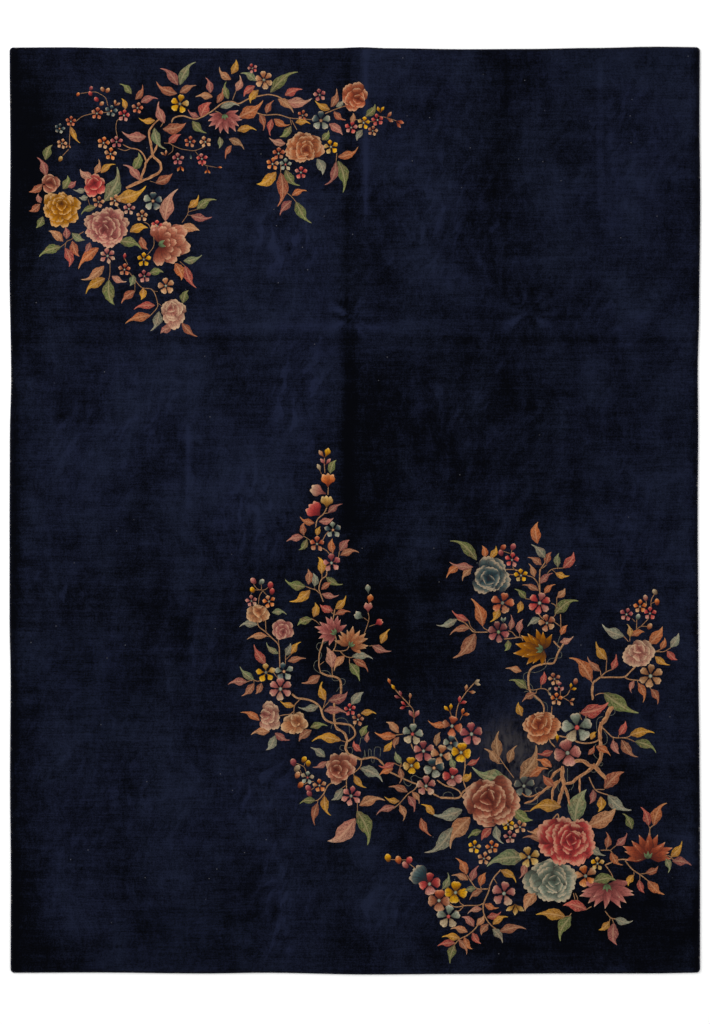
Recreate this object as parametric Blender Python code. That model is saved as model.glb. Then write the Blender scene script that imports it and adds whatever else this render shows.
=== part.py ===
"""A room-size Chinese art deco rug that lies flat: a hand-knotted wool pile on a woven ground,
with a yarn-wound selvedge down each long side and an overcast edge along each end.

X runs across the rug, Y along it and Z up. The origin is the middle of its underside, in metres.
Every outline is first laid out as a true rectangle with round corners. The wandering of the real
edges is then one smooth warp that all the pieces share, so the gaps between them stay even.
"""

import math

import bmesh
import bpy

# The whole rug, between the straight lines that its wandering edges follow
RUG_WIDTH = 2.712
RUG_LENGTH = 3.641
PILE_HEIGHT = 0.012  # woven ground and clipped pile together

# The wound edgings, which lie outside the pile
SELVEDGE_WIDTH = 0.007
SELVEDGE_HEIGHT = 0.008
OVERCAST_WIDTH = 0.005
OVERCAST_HEIGHT = 0.0065
SEWN_GAP = 0.0003  # between pieces that lie against each other

# The pile's own outline
HALF_WIDTH = RUG_WIDTH / 2 - SELVEDGE_WIDTH - SEWN_GAP
HALF_LENGTH = RUG_LENGTH / 2 - OVERCAST_WIDTH - SEWN_GAP
CORNER_RADIUS = 0.010
CORNER_STEPS = 4

# How the clipped pile rounds over at its rim, from the underside to the top
RIM_PROFILE = (  # inset from the outline, height
    (0.0015, 0.0),
    (0.0, 0.0015),
    (0.0, 0.0075),
    (0.0012, 0.0100),
    (0.0042, 0.0115),
    (0.0090, PILE_HEIGHT),
)

# An edging's cross-section, from the pile outwards
EDGING_PROFILE = (  # share of its width, share of its height
    (0.00, 0.00),
    (0.80, 0.00),
    (1.00, 0.28),
    (1.00, 0.62),
    (0.78, 0.92),
    (0.42, 1.00),
    (0.00, 0.90),
)

# How far each edge of the rug wanders outwards from a straight line
SIDE_WANDER = {  # share of the length from the near end, outward shift
    "left": ((0.00, -0.002), (0.10, -0.003), (0.21, 0.000), (0.32, -0.002), (0.38, 0.002),
             (0.48, 0.002), (0.58, 0.001), (0.64, -0.004), (0.78, 0.003), (0.88, -0.001), (1.00, 0.002)),
    "right": ((0.00, 0.004), (0.15, 0.004), (0.23, 0.002), (0.33, -0.002), (0.50, -0.005),
              (0.59, -0.003), (0.65, -0.005), (0.72, 0.001), (0.83, 0.005), (0.93, 0.002), (1.00, 0.003)),
}
END_WANDER = {  # share of the width from the left side, outward shift
    "near": ((0.00, -0.002), (0.12, -0.003), (0.28, 0.001), (0.37, -0.002), (0.52, 0.005),
             (0.66, 0.003), (0.80, 0.001), (0.93, 0.001), (1.00, -0.002)),
    "far": ((0.00, 0.003), (0.08, 0.004), (0.15, 0.001), (0.34, 0.000), (0.47, 0.000), (0.51, 0.004),
            (0.55, 0.000), (0.66, -0.004), (0.75, -0.003), (0.85, 0.001), (0.94, 0.006), (1.00, 0.004)),
}

# Where the rug was once folded for storage, its pile still stands a little higher
FOLDS = (  # which way it runs, place, height, half width, share of its run that it fades over at each end
    ("along", 0.022, 0.0040, 0.070, 0.06),
    ("along", -0.690, 0.0016, 0.110, 0.15),
    ("along", 0.700, 0.0020, 0.110, 0.15),
    ("across", 0.890, 0.0016, 0.120, 0.20),
    ("across", 0.030, 0.0020, 0.120, 0.15),
    ("across", -0.900, 0.0014, 0.120, 0.20),
)

# The grid of the pile's top: even lines, and five more over each fold
EVEN_SPACING = 0.078
FOLD_LINE_SHARES = (-1.0, -0.5, 0.0, 0.5, 1.0)  # of the fold's half width, from its crest
CLOSEST_LINES = 0.022

NAVY_WOOL = ((0.010, 0.014, 0.036, 1.0), 0.95)  # colour, roughness
EDGING_YARN = ((0.006, 0.008, 0.020, 1.0), 0.90)
SHARP_EDGE_ANGLE = math.radians(50)


def clear_scene():
    """Removes every object, so the rug starts from nothing."""
    for old in list(bpy.data.objects):
        bpy.data.objects.remove(old, do_unlink=True)


def wool(name, look):
    """A matt wool material of one colour."""
    colour, roughness = look
    material = bpy.data.materials.new(name)
    material.use_nodes = True
    shader = material.node_tree.nodes["Principled BSDF"]
    shader.inputs["Base Color"].default_value = colour
    shader.inputs["Roughness"].default_value = roughness
    shader.inputs["Metallic"].default_value = 0.0
    return material


def eased(table, share):
    """The table's value at a share of its length, easing smoothly from row to row."""
    for (start, low), (end, high) in zip(table, table[1:]):
        if share <= end:
            step = min(max((share - start) / (end - start), 0.0), 1.0)
            return low + (high - low) * (1 - math.cos(math.pi * step)) / 2
    return table[-1][1]


def wandered(x, y):
    """A point of the true rectangle, moved as the real edges wander. The middle stays put."""
    across = x / HALF_WIDTH
    along = y / HALF_LENGTH
    side = eased(SIDE_WANDER["right" if across > 0 else "left"], (along + 1) / 2)
    end = eased(END_WANDER["far" if along > 0 else "near"], (across + 1) / 2)
    return x + across * side, y + along * end


def placed(bm, x, y, z):
    """A new vertex at a point of the true rectangle, after the edges' wandering."""
    return bm.verts.new((*wandered(x, y), z))


def fold_height(x, y):
    """How much higher the pile stands at a point, over the old fold lines."""
    total = 0.0
    for runs, place, height, half_width, fade in FOLDS:
        off = (x if runs == "along" else y) - place
        if abs(off) >= half_width:
            continue
        run = y / HALF_LENGTH if runs == "along" else x / HALF_WIDTH
        strength = min((1 - abs(run)) / fade, 1.0)
        total += height * strength * (1 + math.cos(math.pi * off / half_width)) / 2
    return total


def grid_lines(half, runs):
    """Where the grid's lines lie in one direction, short of the edges at both ends.

    The folds that run this way get their own lines, and even ones fill the rest."""
    fold_lines = [
        place + share * half_width
        for way, place, _, half_width, _ in FOLDS if way == runs
        for share in FOLD_LINE_SHARES
    ]
    count = round(2 * half / EVEN_SPACING)
    even = [(2 * k / count - 1) * half for k in range(1, count)]
    spare = [line for line in even if all(abs(line - other) >= CLOSEST_LINES for other in fold_lines)]
    return sorted(fold_lines + spare)


COLUMNS = grid_lines(HALF_WIDTH, "along")
ROWS = grid_lines(HALF_LENGTH, "across")


def corner(side, end, inset):
    """One rounded corner of the pile's outline, as points along its arc, anticlockwise."""
    middle_x = side * (HALF_WIDTH - CORNER_RADIUS)
    middle_y = end * (HALF_LENGTH - CORNER_RADIUS)
    first_angle = {(-1, -1): 180, (1, -1): 270, (1, 1): 0, (-1, 1): 90}[side, end]
    reach = CORNER_RADIUS - inset
    points = []
    for step in range(CORNER_STEPS + 1):
        angle = math.radians(first_angle + 90 * step / CORNER_STEPS)
        points.append((middle_x + reach * math.cos(angle), middle_y + reach * math.sin(angle)))
    return points


def outline(inset):
    """The pile's outline, anticlockwise from its near left corner.

    The straight runs hold one point for each line of the grid, and each corner is an arc."""
    right, far = HALF_WIDTH - inset, HALF_LENGTH - inset
    near_run = [(x, -far) for x in COLUMNS]
    right_run = [(right, y) for y in ROWS]
    far_run = [(x, far) for x in reversed(COLUMNS)]
    left_run = [(-right, y) for y in reversed(ROWS)]
    return (
        corner(-1, -1, inset) + near_run + corner(1, -1, inset) + right_run
        + corner(1, 1, inset) + far_run + corner(-1, 1, inset) + left_run
    )


def bridge(bm, lower, upper):
    """Joins two loops of as many vertices with a band of faces."""
    for k, vertex in enumerate(lower):
        after = (k + 1) % len(lower)
        bm.faces.new((vertex, lower[after], upper[after], upper[k]))


def pile_top(bm, rim):
    """Fills the rim's inner loop with a grid that follows the folds, and a fan in each corner.

    The grid's outer points are the loop's own, so every edge is shared."""
    across, along, arc = len(COLUMNS), len(ROWS), CORNER_STEPS + 1
    near_run = arc
    right_run = near_run + across + arc
    far_run = right_run + along + arc
    left_run = far_run + across + arc
    grid = {}
    for i, x in enumerate(COLUMNS, 1):
        for j, y in enumerate(ROWS, 1):
            grid[i, j] = placed(bm, x, y, PILE_HEIGHT + fold_height(x, y))
        grid[i, 0] = rim[near_run + i - 1]
        grid[i, along + 1] = rim[far_run + across - i]
    for j in range(1, along + 1):
        grid[across + 1, j] = rim[right_run + j - 1]
        grid[0, j] = rim[left_run + along - j]
    for i, j in list(grid):
        square = ((i, j), (i + 1, j), (i + 1, j + 1), (i, j + 1))
        if all(point in grid for point in square):
            bm.faces.new([grid[point] for point in square])
    corner_points = ((1, 1), (across, 1), (across, along), (1, along))
    for after_arc, point in zip((near_run, right_run, far_run, left_run), corner_points):
        fan = [rim[(after_arc - arc - 1 + k) % len(rim)] for k in range(arc + 2)]
        bm.faces.new([grid[point], *fan])


def make_pile(material):
    """The rug itself: one closed solid with a flat underside, a rounded rim and a gently folded top."""
    bm = bmesh.new()
    loops = [[placed(bm, x, y, height) for x, y in outline(inset)] for inset, height in RIM_PROFILE]
    for lower, upper in zip(loops, loops[1:]):
        bridge(bm, lower, upper)
    bm.faces.new(list(reversed(loops[0])))
    pile_top(bm, loops[-1])
    return finished("pile_field", bm, material)


def selvedge_route(side):
    """A side selvedge's route: up its long edge, and round both corners as far as the ends.

    A row holds a place on the pile's outline, its outward direction, and the edging's width and height."""
    middle_x = side * (HALF_WIDTH - CORNER_RADIUS)
    route = [(side * HALF_WIDTH, y, side, 0, SELVEDGE_WIDTH, SELVEDGE_HEIGHT) for y in ROWS]
    for end in (-1, 1):
        middle_y = end * (HALF_LENGTH - CORNER_RADIUS)
        arc = []
        for step in range(CORNER_STEPS + 1):
            turn = step / CORNER_STEPS  # from the long edge to the end
            angle = math.radians(90 * turn)
            out_x, out_y = side * math.cos(angle), end * math.sin(angle)
            width = SELVEDGE_WIDTH + (OVERCAST_WIDTH - SELVEDGE_WIDTH) * turn
            height = SELVEDGE_HEIGHT + (OVERCAST_HEIGHT - SELVEDGE_HEIGHT) * turn
            x, y = middle_x + CORNER_RADIUS * out_x, middle_y + CORNER_RADIUS * out_y
            arc.append((x, y, out_x, out_y, width, height))
        route = route + arc if end == 1 else list(reversed(arc)) + route
    return route


def overcast_route(end):
    """An overcast end's route, between the tips of the two selvedges."""
    reach = HALF_WIDTH - CORNER_RADIUS - SEWN_GAP
    places = (-reach, *COLUMNS, reach)
    return [(x, end * HALF_LENGTH, 0, end, OVERCAST_WIDTH, OVERCAST_HEIGHT) for x in places]


def make_edging(name, route, material):
    """A wound edging: its cross-section swept along its route, and closed at both tips."""
    bm = bmesh.new()
    loops = []
    for x, y, out_x, out_y, width, height in route:
        section = []
        for share_out, share_up in EDGING_PROFILE:
            reach = SEWN_GAP + share_out * width
            section.append(placed(bm, x + out_x * reach, y + out_y * reach, share_up * height))
        loops.append(section)
    for lower, upper in zip(loops, loops[1:]):
        bridge(bm, lower, upper)
    bm.faces.new(list(reversed(loops[0])))
    bm.faces.new(loops[-1])
    return finished(name, bm, material)


def finished(name, bm, material):
    """Turns the built mesh into a named object with its faces pointing outwards."""
    bmesh.ops.recalc_face_normals(bm, faces=bm.faces)
    mesh = bpy.data.meshes.new(name)
    bm.to_mesh(mesh)
    bm.free()
    mesh.materials.append(material)
    mesh.shade_smooth()
    mesh.set_sharp_from_angle(angle=SHARP_EDGE_ANGLE)
    piece = bpy.data.objects.new(name, mesh)
    bpy.context.scene.collection.objects.link(piece)
    return piece


def centre_on_origin(pieces):
    """Puts the middle of the rug's box on the origin, since its edges don't wander evenly."""
    corners = [vertex.co for piece in pieces for vertex in piece.data.vertices]
    for axis in (0, 1):
        values = [co[axis] for co in corners]
        middle = (min(values) + max(values)) / 2
        for co in corners:
            co[axis] -= middle


def main():
    clear_scene()
    navy = wool("navy_wool", NAVY_WOOL)
    yarn = wool("edging_yarn", EDGING_YARN)
    pieces = [
        make_pile(navy),
        make_edging("side_selvedge_left", selvedge_route(-1), yarn),
        make_edging("side_selvedge_right", selvedge_route(1), yarn),
        make_edging("end_overcast_near", overcast_route(-1), yarn),
        make_edging("end_overcast_far", overcast_route(1), yarn),
    ]
    centre_on_origin(pieces)


main()
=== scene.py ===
"""The looks of a room-size Chinese art deco rug, seen from straight above.

The pile is a clipped navy wool field with two sprays of blossom on knotty boughs. Each leaf, petal
and twig is a low crowned tuft of pile of its own. Places in the tables are pixels of the 710 x 1024
frame, counted across and down, because the cartoon was laid out in them. at() turns them into metres.
"""

import math
import random

import bmesh
import bpy
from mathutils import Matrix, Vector, noise


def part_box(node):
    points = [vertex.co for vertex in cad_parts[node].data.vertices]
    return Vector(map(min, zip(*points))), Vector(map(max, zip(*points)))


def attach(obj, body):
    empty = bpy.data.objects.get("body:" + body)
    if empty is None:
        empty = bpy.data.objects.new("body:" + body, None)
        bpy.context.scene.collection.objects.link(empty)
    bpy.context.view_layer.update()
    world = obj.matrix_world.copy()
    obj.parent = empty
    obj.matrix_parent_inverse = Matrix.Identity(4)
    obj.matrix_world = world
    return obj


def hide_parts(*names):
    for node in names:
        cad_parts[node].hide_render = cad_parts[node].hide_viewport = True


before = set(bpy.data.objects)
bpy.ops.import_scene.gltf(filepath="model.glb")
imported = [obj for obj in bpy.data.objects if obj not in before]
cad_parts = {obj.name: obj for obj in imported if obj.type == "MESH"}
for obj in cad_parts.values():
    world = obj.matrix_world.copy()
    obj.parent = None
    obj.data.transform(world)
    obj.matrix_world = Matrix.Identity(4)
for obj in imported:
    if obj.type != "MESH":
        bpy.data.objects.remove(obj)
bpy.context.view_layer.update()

CHANCE = random.Random(29)

# The frame and the rug's place in it
FRAME_WIDTH, FRAME_HEIGHT = 710, 1024
PIXEL = 0.003932  # metres on the rug
MIDDLE_ACROSS, MIDDLE_DOWN = 354.8, 510.6

# The rug
PILE_HEIGHT = 0.012
CORNER_RADIUS = 0.010
FOLDS = (  # which way it runs, place, height, half width, share of its run that it fades over at each end
    ("along", 0.022, 0.0040, 0.070, 0.06),
    ("along", -0.690, 0.0016, 0.110, 0.15),
    ("along", 0.700, 0.0020, 0.110, 0.15),
    ("across", 0.890, 0.0016, 0.120, 0.20),
    ("across", 0.030, 0.0020, 0.120, 0.15),
    ("across", -0.900, 0.0014, 0.120, 0.20),
)
RIM = (  # inset from the pile's outline, height
    (0.0, 0.0078),
    (0.0012, 0.0100),
    (0.0042, 0.0115),
    (0.0090, 0.0120),
)
RIM_BAND = 0.018  # the even grid starts this far in
HEM_DROPS = (0.006, 0.001)  # the pile's side is drawn down in two steps
HEM_HEIGHT = 0.0015  # points lower than this are set on the floor
GRID_SPACING = 0.0125
KNOT = 0.0034  # one knot of the pile

# The wound edgings
SELVEDGE = (0.007, 0.008)  # width, height
OVERCAST = (0.005, 0.0065)
YARN_PITCH = 0.0042
YARN_SIDES = 10
SEWN_GAP = 0.0003

# Wools as dyed, in 8-bit sRGB: deep as in a throat, as most of it looks, and pale as at a rim
WOOLS = {
    "rust": ((100, 32, 18), (166, 78, 46), (208, 126, 88)),
    "terracotta": ((100, 40, 24), (158, 92, 62), (198, 142, 106)),
    "coral": ((112, 24, 30), (180, 58, 54), (222, 122, 104)),
    "rose": ((98, 32, 40), (150, 70, 70), (194, 116, 106)),
    "pink": ((118, 50, 48), (172, 98, 88), (208, 150, 130)),
    "blush": ((138, 68, 60), (180, 122, 100), (210, 176, 144)),
    "peach": ((140, 70, 36), (184, 124, 82), (214, 170, 124)),
    "orange": ((126, 46, 14), (196, 100, 40), (226, 156, 98)),
    "mustard": ((118, 66, 0), (208, 144, 0), (234, 180, 44)),
    "straw": ((130, 84, 22), (184, 138, 68), (208, 178, 114)),
    "moss": ((38, 58, 22), (94, 116, 54), (150, 160, 96)),
    "sage": ((54, 76, 50), (106, 126, 84), (158, 166, 124)),
    "celadon": ((66, 80, 68), (128, 136, 116), (184, 180, 158)),
    "teal": ((8, 32, 42), (46, 72, 76), (160, 150, 132)),
    "cream": ((120, 96, 70), (168, 144, 110), (200, 180, 144)),
    "bark": ((96, 50, 26), (158, 102, 64), (200, 146, 100)),
    "tan": ((106, 62, 34), (156, 108, 70), (196, 150, 106)),
    "grey": ((52, 60, 56), (84, 92, 84), (112, 116, 104)),
    "ochre": ((94, 48, 1), (156, 92, 1), (210, 144, 24)),
    "brick": ((96, 32, 22), (150, 80, 58), (200, 136, 108)),
    "amber": ((114, 38, 20), (164, 84, 46), (204, 136, 90)),
    "mauve": ((74, 26, 30), (124, 66, 62), (164, 106, 96)),
}
DULLED = (0.85, 0.86, 0.87)  # how much of its brightness each of the three keeps under the studio's light


def linear(channel):
    """One 8-bit sRGB channel as linear light."""
    share = channel / 255
    return share / 12.92 if share <= 0.04045 else ((share + 0.055) / 1.055) ** 2.4


def dyed(wool, shade, change=0.0):
    """A wool's linear colour at a shade from 0, deep, to 1, pale, and lighter by a share."""
    tones = [[channel * dulled for channel in tone] for tone, dulled in zip(WOOLS[wool], DULLED)]
    first, second = tones[:2] if shade < 0.5 else tones[1:]
    share = min(max(shade * 2 - (shade >= 0.5), 0.0), 1.0)
    return tuple(linear(a + (b - a) * share) * (1 + change) for a, b in zip(first, second)) + (1.0,)


def at(across, down):
    """A pixel of the frame as a place on the rug, in metres."""
    return Vector(((across - MIDDLE_ACROSS) * PIXEL, (MIDDLE_DOWN - down) * PIXEL))


def eased(table, share):
    """The table's value at a share of its length, easing smoothly from row to row."""
    for (start, low), (end, high) in zip(table, table[1:]):
        if share <= end:
            step = min(max((share - start) / (end - start), 0.0), 1.0)
            return low + (high - low) * (1 - math.cos(math.pi * step)) / 2
    return table[-1][1]


# The pile's outline, read from the solid of the rug


def outline_ring(node):
    """The outermost ring of a flat solid, anticlockwise, as places in the plane."""
    points = [vertex.co for vertex in bpy.data.objects[node].data.vertices]
    lower = {(round(co.x, 6), round(co.y, 6)) for co in points if 0.001 < co.z < 0.002}
    return [Vector(place) for place in sorted(lower, key=lambda place: math.atan2(place[1], place[0]))]


RING = outline_ring("pile_field")
HALF_WIDTH = (max(p.x for p in RING) - min(p.x for p in RING)) / 2 - 0.001
HALF_LENGTH = (max(p.y for p in RING) - min(p.y for p in RING)) / 2 - 0.001


def straight_ends():
    """The ring without the points that round its corners."""
    kept = []
    for k, place in enumerate(RING):
        gaps = (place - RING[k - 1]).length, (RING[(k + 1) % len(RING)] - place).length
        if max(gaps) > CORNER_RADIUS:
            kept.append(place)
    return kept


STRAIGHTS = straight_ends()


def edge_reach(axis, side, along):
    """How far the outline reaches to one side, at a place along that side."""
    other = 1 - axis
    limit = (HALF_WIDTH, HALF_LENGTH)[axis] - 0.008
    edge = sorted((p[other], p[axis]) for p in STRAIGHTS if p[axis] * side > limit)
    for (start, low), (end, high) in zip(edge, edge[1:]):
        if along <= end:
            step = min(max((along - start) / (end - start), 0.0), 1.0)
            return abs(low + (high - low) * step)
    return abs(edge[-1][1])


def fold_height(x, y):
    """How much higher the pile stands at a point, over the old fold lines."""
    total = 0.0
    for runs, place, height, half_width, fade in FOLDS:
        off = (x if runs == "along" else y) - place
        if abs(off) >= half_width:
            continue
        run = min(abs(y / HALF_LENGTH if runs == "along" else x / HALF_WIDTH), 1.0)
        total += height * min((1 - run) / fade, 1.0) * (1 + math.cos(math.pi * off / half_width)) / 2
    return total


# Shader expressions


class Signal:
    """A socket of a material's nodes, so that sums and products of sockets are written as such."""

    def __init__(self, tree, socket):
        self.tree = tree
        self.socket = socket

    def worked(self, operation, *terms):
        """One maths node over signals and plain numbers."""
        node = self.tree.nodes.new("ShaderNodeMath")
        node.operation = operation
        for socket, term in zip(node.inputs, terms):
            if isinstance(term, Signal):
                self.tree.links.new(term.socket, socket)
            else:
                socket.default_value = term
        return Signal(self.tree, node.outputs[0])

    def __add__(self, other):
        return self.worked("ADD", self, other)

    def __radd__(self, other):
        return self.worked("ADD", other, self)

    def __sub__(self, other):
        return self.worked("SUBTRACT", self, other)

    def __rsub__(self, other):
        return self.worked("SUBTRACT", other, self)

    def __mul__(self, other):
        return self.worked("MULTIPLY", self, other)

    def __rmul__(self, other):
        return self.worked("MULTIPLY", other, self)

    def __abs__(self):
        return self.worked("ABSOLUTE", self)

    def fraction(self):
        return self.worked("FRACT", self)

    def larger(self, other):
        return self.worked("MAXIMUM", self, other)


class Finish:
    """A matt wool material, its pattern written as expressions on signals."""

    def __init__(self, name, roughness=0.92, sheen=0.02, specular=0.03):
        self.material = bpy.data.materials.new(name)
        self.material.use_nodes = True
        self.tree = self.material.node_tree
        self.shader = self.tree.nodes["Principled BSDF"]
        self.shader.inputs["Roughness"].default_value = roughness
        self.shader.inputs["Sheen Weight"].default_value = sheen
        self.shader.inputs["Sheen Roughness"].default_value = 0.6
        self.shader.inputs["Specular IOR Level"].default_value = specular

    def node(self, kind, settings=None, sockets=None, out=0):
        """A node of one kind: its settings are set first, then the values or links of its sockets."""
        node = self.tree.nodes.new(kind)
        for setting, value in (settings or {}).items():
            setattr(node, setting, value)
        for socket, value in (sockets or {}).items():
            if isinstance(value, Signal):
                self.tree.links.new(value.socket, node.inputs[socket])
            else:
                node.inputs[socket].default_value = value
        return Signal(self.tree, node.outputs[out])

    def mix(self, share, first, second, blend="MIX"):
        """Two colours mixed by a share."""
        settings = {"data_type": "RGBA", "blend_type": blend, "clamp_factor": True}
        return self.node("ShaderNodeMix", settings, {0: share, 6: first, 7: second}, out=2)

    def step(self, value, low, high):
        """A value's smooth rise from 0 at low to 1 at high."""
        settings = {"interpolation_type": "SMOOTHSTEP"}
        return self.node("ShaderNodeMapRange", settings, {0: value, 1: low, 2: high, 3: 0.0, 4: 1.0})

    def places(self):
        """Every point's own place on the rug, in metres."""
        return self.node("ShaderNodeTexCoord", out=3)

    def stretched(self, places, scale):
        """Places multiplied by a scale for each axis."""
        return self.node("ShaderNodeVectorMath", {"operation": "MULTIPLY"}, {0: places, 1: scale})

    def cloud(self, places, scale, detail=2.0, roughness=0.5):
        """A soft random pattern round 0.5."""
        sockets = {"Vector": places, "Scale": scale, "Detail": detail, "Roughness": roughness}
        return self.node("ShaderNodeTexNoise", None, sockets)

    def knots(self):
        """A random number for each knot of the pile."""
        sockets = {0: self.places(), 1: (KNOT, KNOT, 1.0)}
        cells = self.node("ShaderNodeVectorMath", {"operation": "SNAP"}, sockets)
        return self.node("ShaderNodeTexWhiteNoise", {"noise_dimensions": "2D"}, {"Vector": cells})

    def painted(self, name):
        """A colour that the mesh holds for every point."""
        return self.node("ShaderNodeAttribute", {"attribute_name": name})

    def measured(self, name):
        """A number that the mesh holds for every point."""
        return self.node("ShaderNodeAttribute", {"attribute_name": name}, out=2)

    def own_place(self):
        """A point's place in its own leaf, petal or bough: along it, and out from its midrib to its rim."""
        place = self.node("ShaderNodeUVMap", {"uv_map": "own"})
        along = self.node("ShaderNodeSeparateXYZ", None, {0: place})
        across = self.node("ShaderNodeSeparateXYZ", None, {0: place}, out=1)
        return along, across, abs(across * 2.0 - 1.0)

    def finished(self, colour, bump=None, strength=0.5, distance=0.001):
        """The material, once its colour and its relief are linked."""
        self.tree.links.new(colour.socket, self.shader.inputs["Base Color"])
        if bump is not None:
            sockets = {"Strength": strength, "Distance": distance, "Height": bump}
            normal = self.node("ShaderNodeBump", None, sockets)
            self.tree.links.new(normal.socket, self.shader.inputs["Normal"])
        return self.material


NAVY_SHADED_NAP = (0.0004, 0.0006, 0.0016, 1.0)  # painted shade: the nap seen from above, into the pile
NAVY_SHEENED_NAP = (0.0088, 0.0116, 0.0296, 1.0)  # painted sheen: the nap lying over
NAVY_CLOUDED = (0.0090, 0.0122, 0.0285, 1.0)  # the painted sheen again, where the dye is a little greyer
LINT = (0.10, 0.10, 0.11, 1.0)
LINT_LEVELS = (0.99986, 0.99994)  # only the very highest of the knots' random numbers are specks
HAZE = (0.034, 0.030, 0.031, 1.0)  # the pile of the worn patches
YARN_DARK = (0.002, 0.0025, 0.006, 1.0)
YARN_LIGHT = (0.012, 0.014, 0.030, 1.0)
YARN_WORN = (0.26, 0.24, 0.22, 1.0)
WOOL_LIGHT = (0.46, 0.31, 0.18, 1.0)  # the pale lines in leaves and at petal rims
WOOL_WARM = (0.30, 0.085, 0.045, 1.0)  # the rust tinge in many leaves
WOOL_SHADOW = (0.024, 0.010, 0.010, 1.0)


def tuft_grain(finish):
    """The clipped ends of the yarn."""
    fine = finish.cloud(finish.places(), 520.0, 2.0, 0.6)
    return fine + finish.knots() * 0.5


def navy_field():
    """The dark clipped pile, with the brushed, trodden and worn marks of its nap. The brushed, trodden and
    folded marks are painted sheen and painted shade; the worn haze is wear.
    """
    finish = Finish("navy_pile", roughness=0.9, sheen=0.010, specular=0.02)
    places = finish.places()
    bent = finish.node("ShaderNodeTexNoise", None, {"Vector": places, "Scale": 2.2, "Detail": 2.0}, out=1)
    bent = finish.stretched(bent, (0.20, 0.14, 0.0))
    swept = finish.node("ShaderNodeVectorMath", {"operation": "ADD"}, {0: places, 1: bent})
    clouded = finish.cloud(finish.stretched(swept, (4.0, 3.0, 1.0)), 1.0, 4.0, 0.6)
    brushed = finish.cloud(finish.stretched(swept, (16.0, 10.0, 1.0)), 1.0, 6.0, 0.68)
    strokes = finish.cloud(finish.stretched(swept, (80.0, 22.0, 1.0)), 1.0, 4.0, 0.65)
    weft = finish.cloud(finish.stretched(places, (9.0, 170.0, 1.0)), 1.0, 3.0, 0.7)
    warp = finish.cloud(finish.stretched(places, (150.0, 14.0, 1.0)), 1.0, 3.0, 0.7)
    curled = finish.node("ShaderNodeTexNoise", None, {"Vector": places, "Scale": 6.0, "Detail": 1.0}, out=1)
    curled = finish.node("ShaderNodeVectorMath", {"operation": "ADD"},
                         {0: swept, 1: finish.stretched(curled, (0.10, 0.05, 0.0))})
    tilted = finish.node("ShaderNodeMapping", None, {"Vector": curled, "Rotation": (0.0, 0.0, 0.30)})
    # brushed strokes of painted sheen, lighter and a little darker, where the pile was trodden
    painted_sheen_marks = finish.cloud(finish.stretched(tilted, (30.0, 11.0, 1.0)), 1.0, 2.0, 0.5)
    painted_sheen_marks = finish.step(painted_sheen_marks, 0.52, 0.66) * 2.2 - finish.step(painted_sheen_marks, 0.46, 0.34) * 0.8
    bands = finish.cloud(finish.stretched(places, (2.6, 34.0, 1.0)), 1.0, 4.0, 0.65)
    # how light the nap looks: painted sheen and painted shade of the pile's lay, its folds and brush marks,
    # with the knots' own random tone
    level = (
        finish.measured("painted_nap_light") * 1.5
        + finish.measured("trodden_sheen") * painted_sheen_marks
        + (clouded - 0.5) * 3.6
        + (brushed - 0.5) * 3.0
        + (bands - 0.5) * 2.2
        + (strokes - 0.5) * 1.5
        + (weft - 0.5) * 2.6
        + (warp - 0.5) * 0.9
        + (finish.knots() - 0.5) * 1.3
    )
    # the colour runs from the painted shade of the nap to its painted sheen
    light = finish.mix(finish.step(clouded, 0.42, 0.62), NAVY_SHEENED_NAP, NAVY_CLOUDED)
    colour = finish.mix(finish.step(level, -1.9, 2.5), NAVY_SHADED_NAP, light)
    lint = finish.step(finish.knots(), *LINT_LEVELS)
    colour = finish.mix(lint * 0.6, colour, LINT)
    haze = finish.measured("worn") * finish.step(brushed + strokes, 0.80, 1.20)
    colour = finish.mix(haze * 0.9, colour, HAZE)
    return finish.finished(colour, tuft_grain(finish) + strokes, strength=0.35, distance=0.0012)


def leaf_wool():
    """A leaf's wools: a pale midrib, side veins and edge, crackled, on a mottled dye."""
    finish = Finish("leaf_wool")
    along, across, out = finish.own_place()
    dye = finish.painted("dye")
    places = finish.places()
    wander = finish.cloud(places, 160.0, 2.0) - 0.5
    midrib = (1 - finish.step(out, 0.04, 0.24)) * (1 - finish.step(along, 0.80, 1.0))
    ribs = (along * 5.0 - out * 1.7 + wander * 2.2).fraction()
    side_veins = finish.step(abs(ribs - 0.5), 0.26, 0.44) * finish.step(out, 0.05, 0.2)
    side_veins = side_veins * (1 - finish.step(out, 0.66, 0.96))
    shadows = finish.step(abs(ribs - 0.5), 0.22, 0.04) * finish.step(out, 0.02, 0.2)
    mottle = finish.cloud(places, 120.0, 3.0, 0.6)
    blush = finish.cloud(places, 45.0, 2.0, 0.5)
    half = finish.step(across, 0.42, 0.58)
    crackle = abs(finish.cloud(places, 210.0, 2.0, 0.5) - 0.5)
    crackle = finish.step(crackle, 0.035, 0.010) * finish.step(out, 0.9, 0.7)
    pale = finish.mix(0.42, dye, WOOL_LIGHT)
    colour = finish.mix(finish.step(blush, 0.50, 0.70) * 0.24, dye, WOOL_WARM)
    colour = finish.mix(half * 0.26, colour, WOOL_SHADOW)
    colour = finish.mix(shadows * 0.40, colour, WOOL_SHADOW)
    colour = finish.mix(finish.step(mottle, 0.50, 0.66) * 0.46, colour, WOOL_SHADOW)
    colour = finish.mix((side_veins * 0.60).larger(midrib * 0.85).larger(crackle * 0.62), colour, pale)
    colour = finish.mix(finish.step(mottle, 0.40, 0.28) * 0.34, colour, pale)
    colour = finish.mix(finish.step(out, 0.86, 1.0) * 0.48, colour, pale)
    colour = finish.mix((finish.knots() - 0.25) * 0.36, colour, WOOL_SHADOW)
    return finish.finished(colour, tuft_grain(finish) - midrib * 0.8, strength=0.4)


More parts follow.
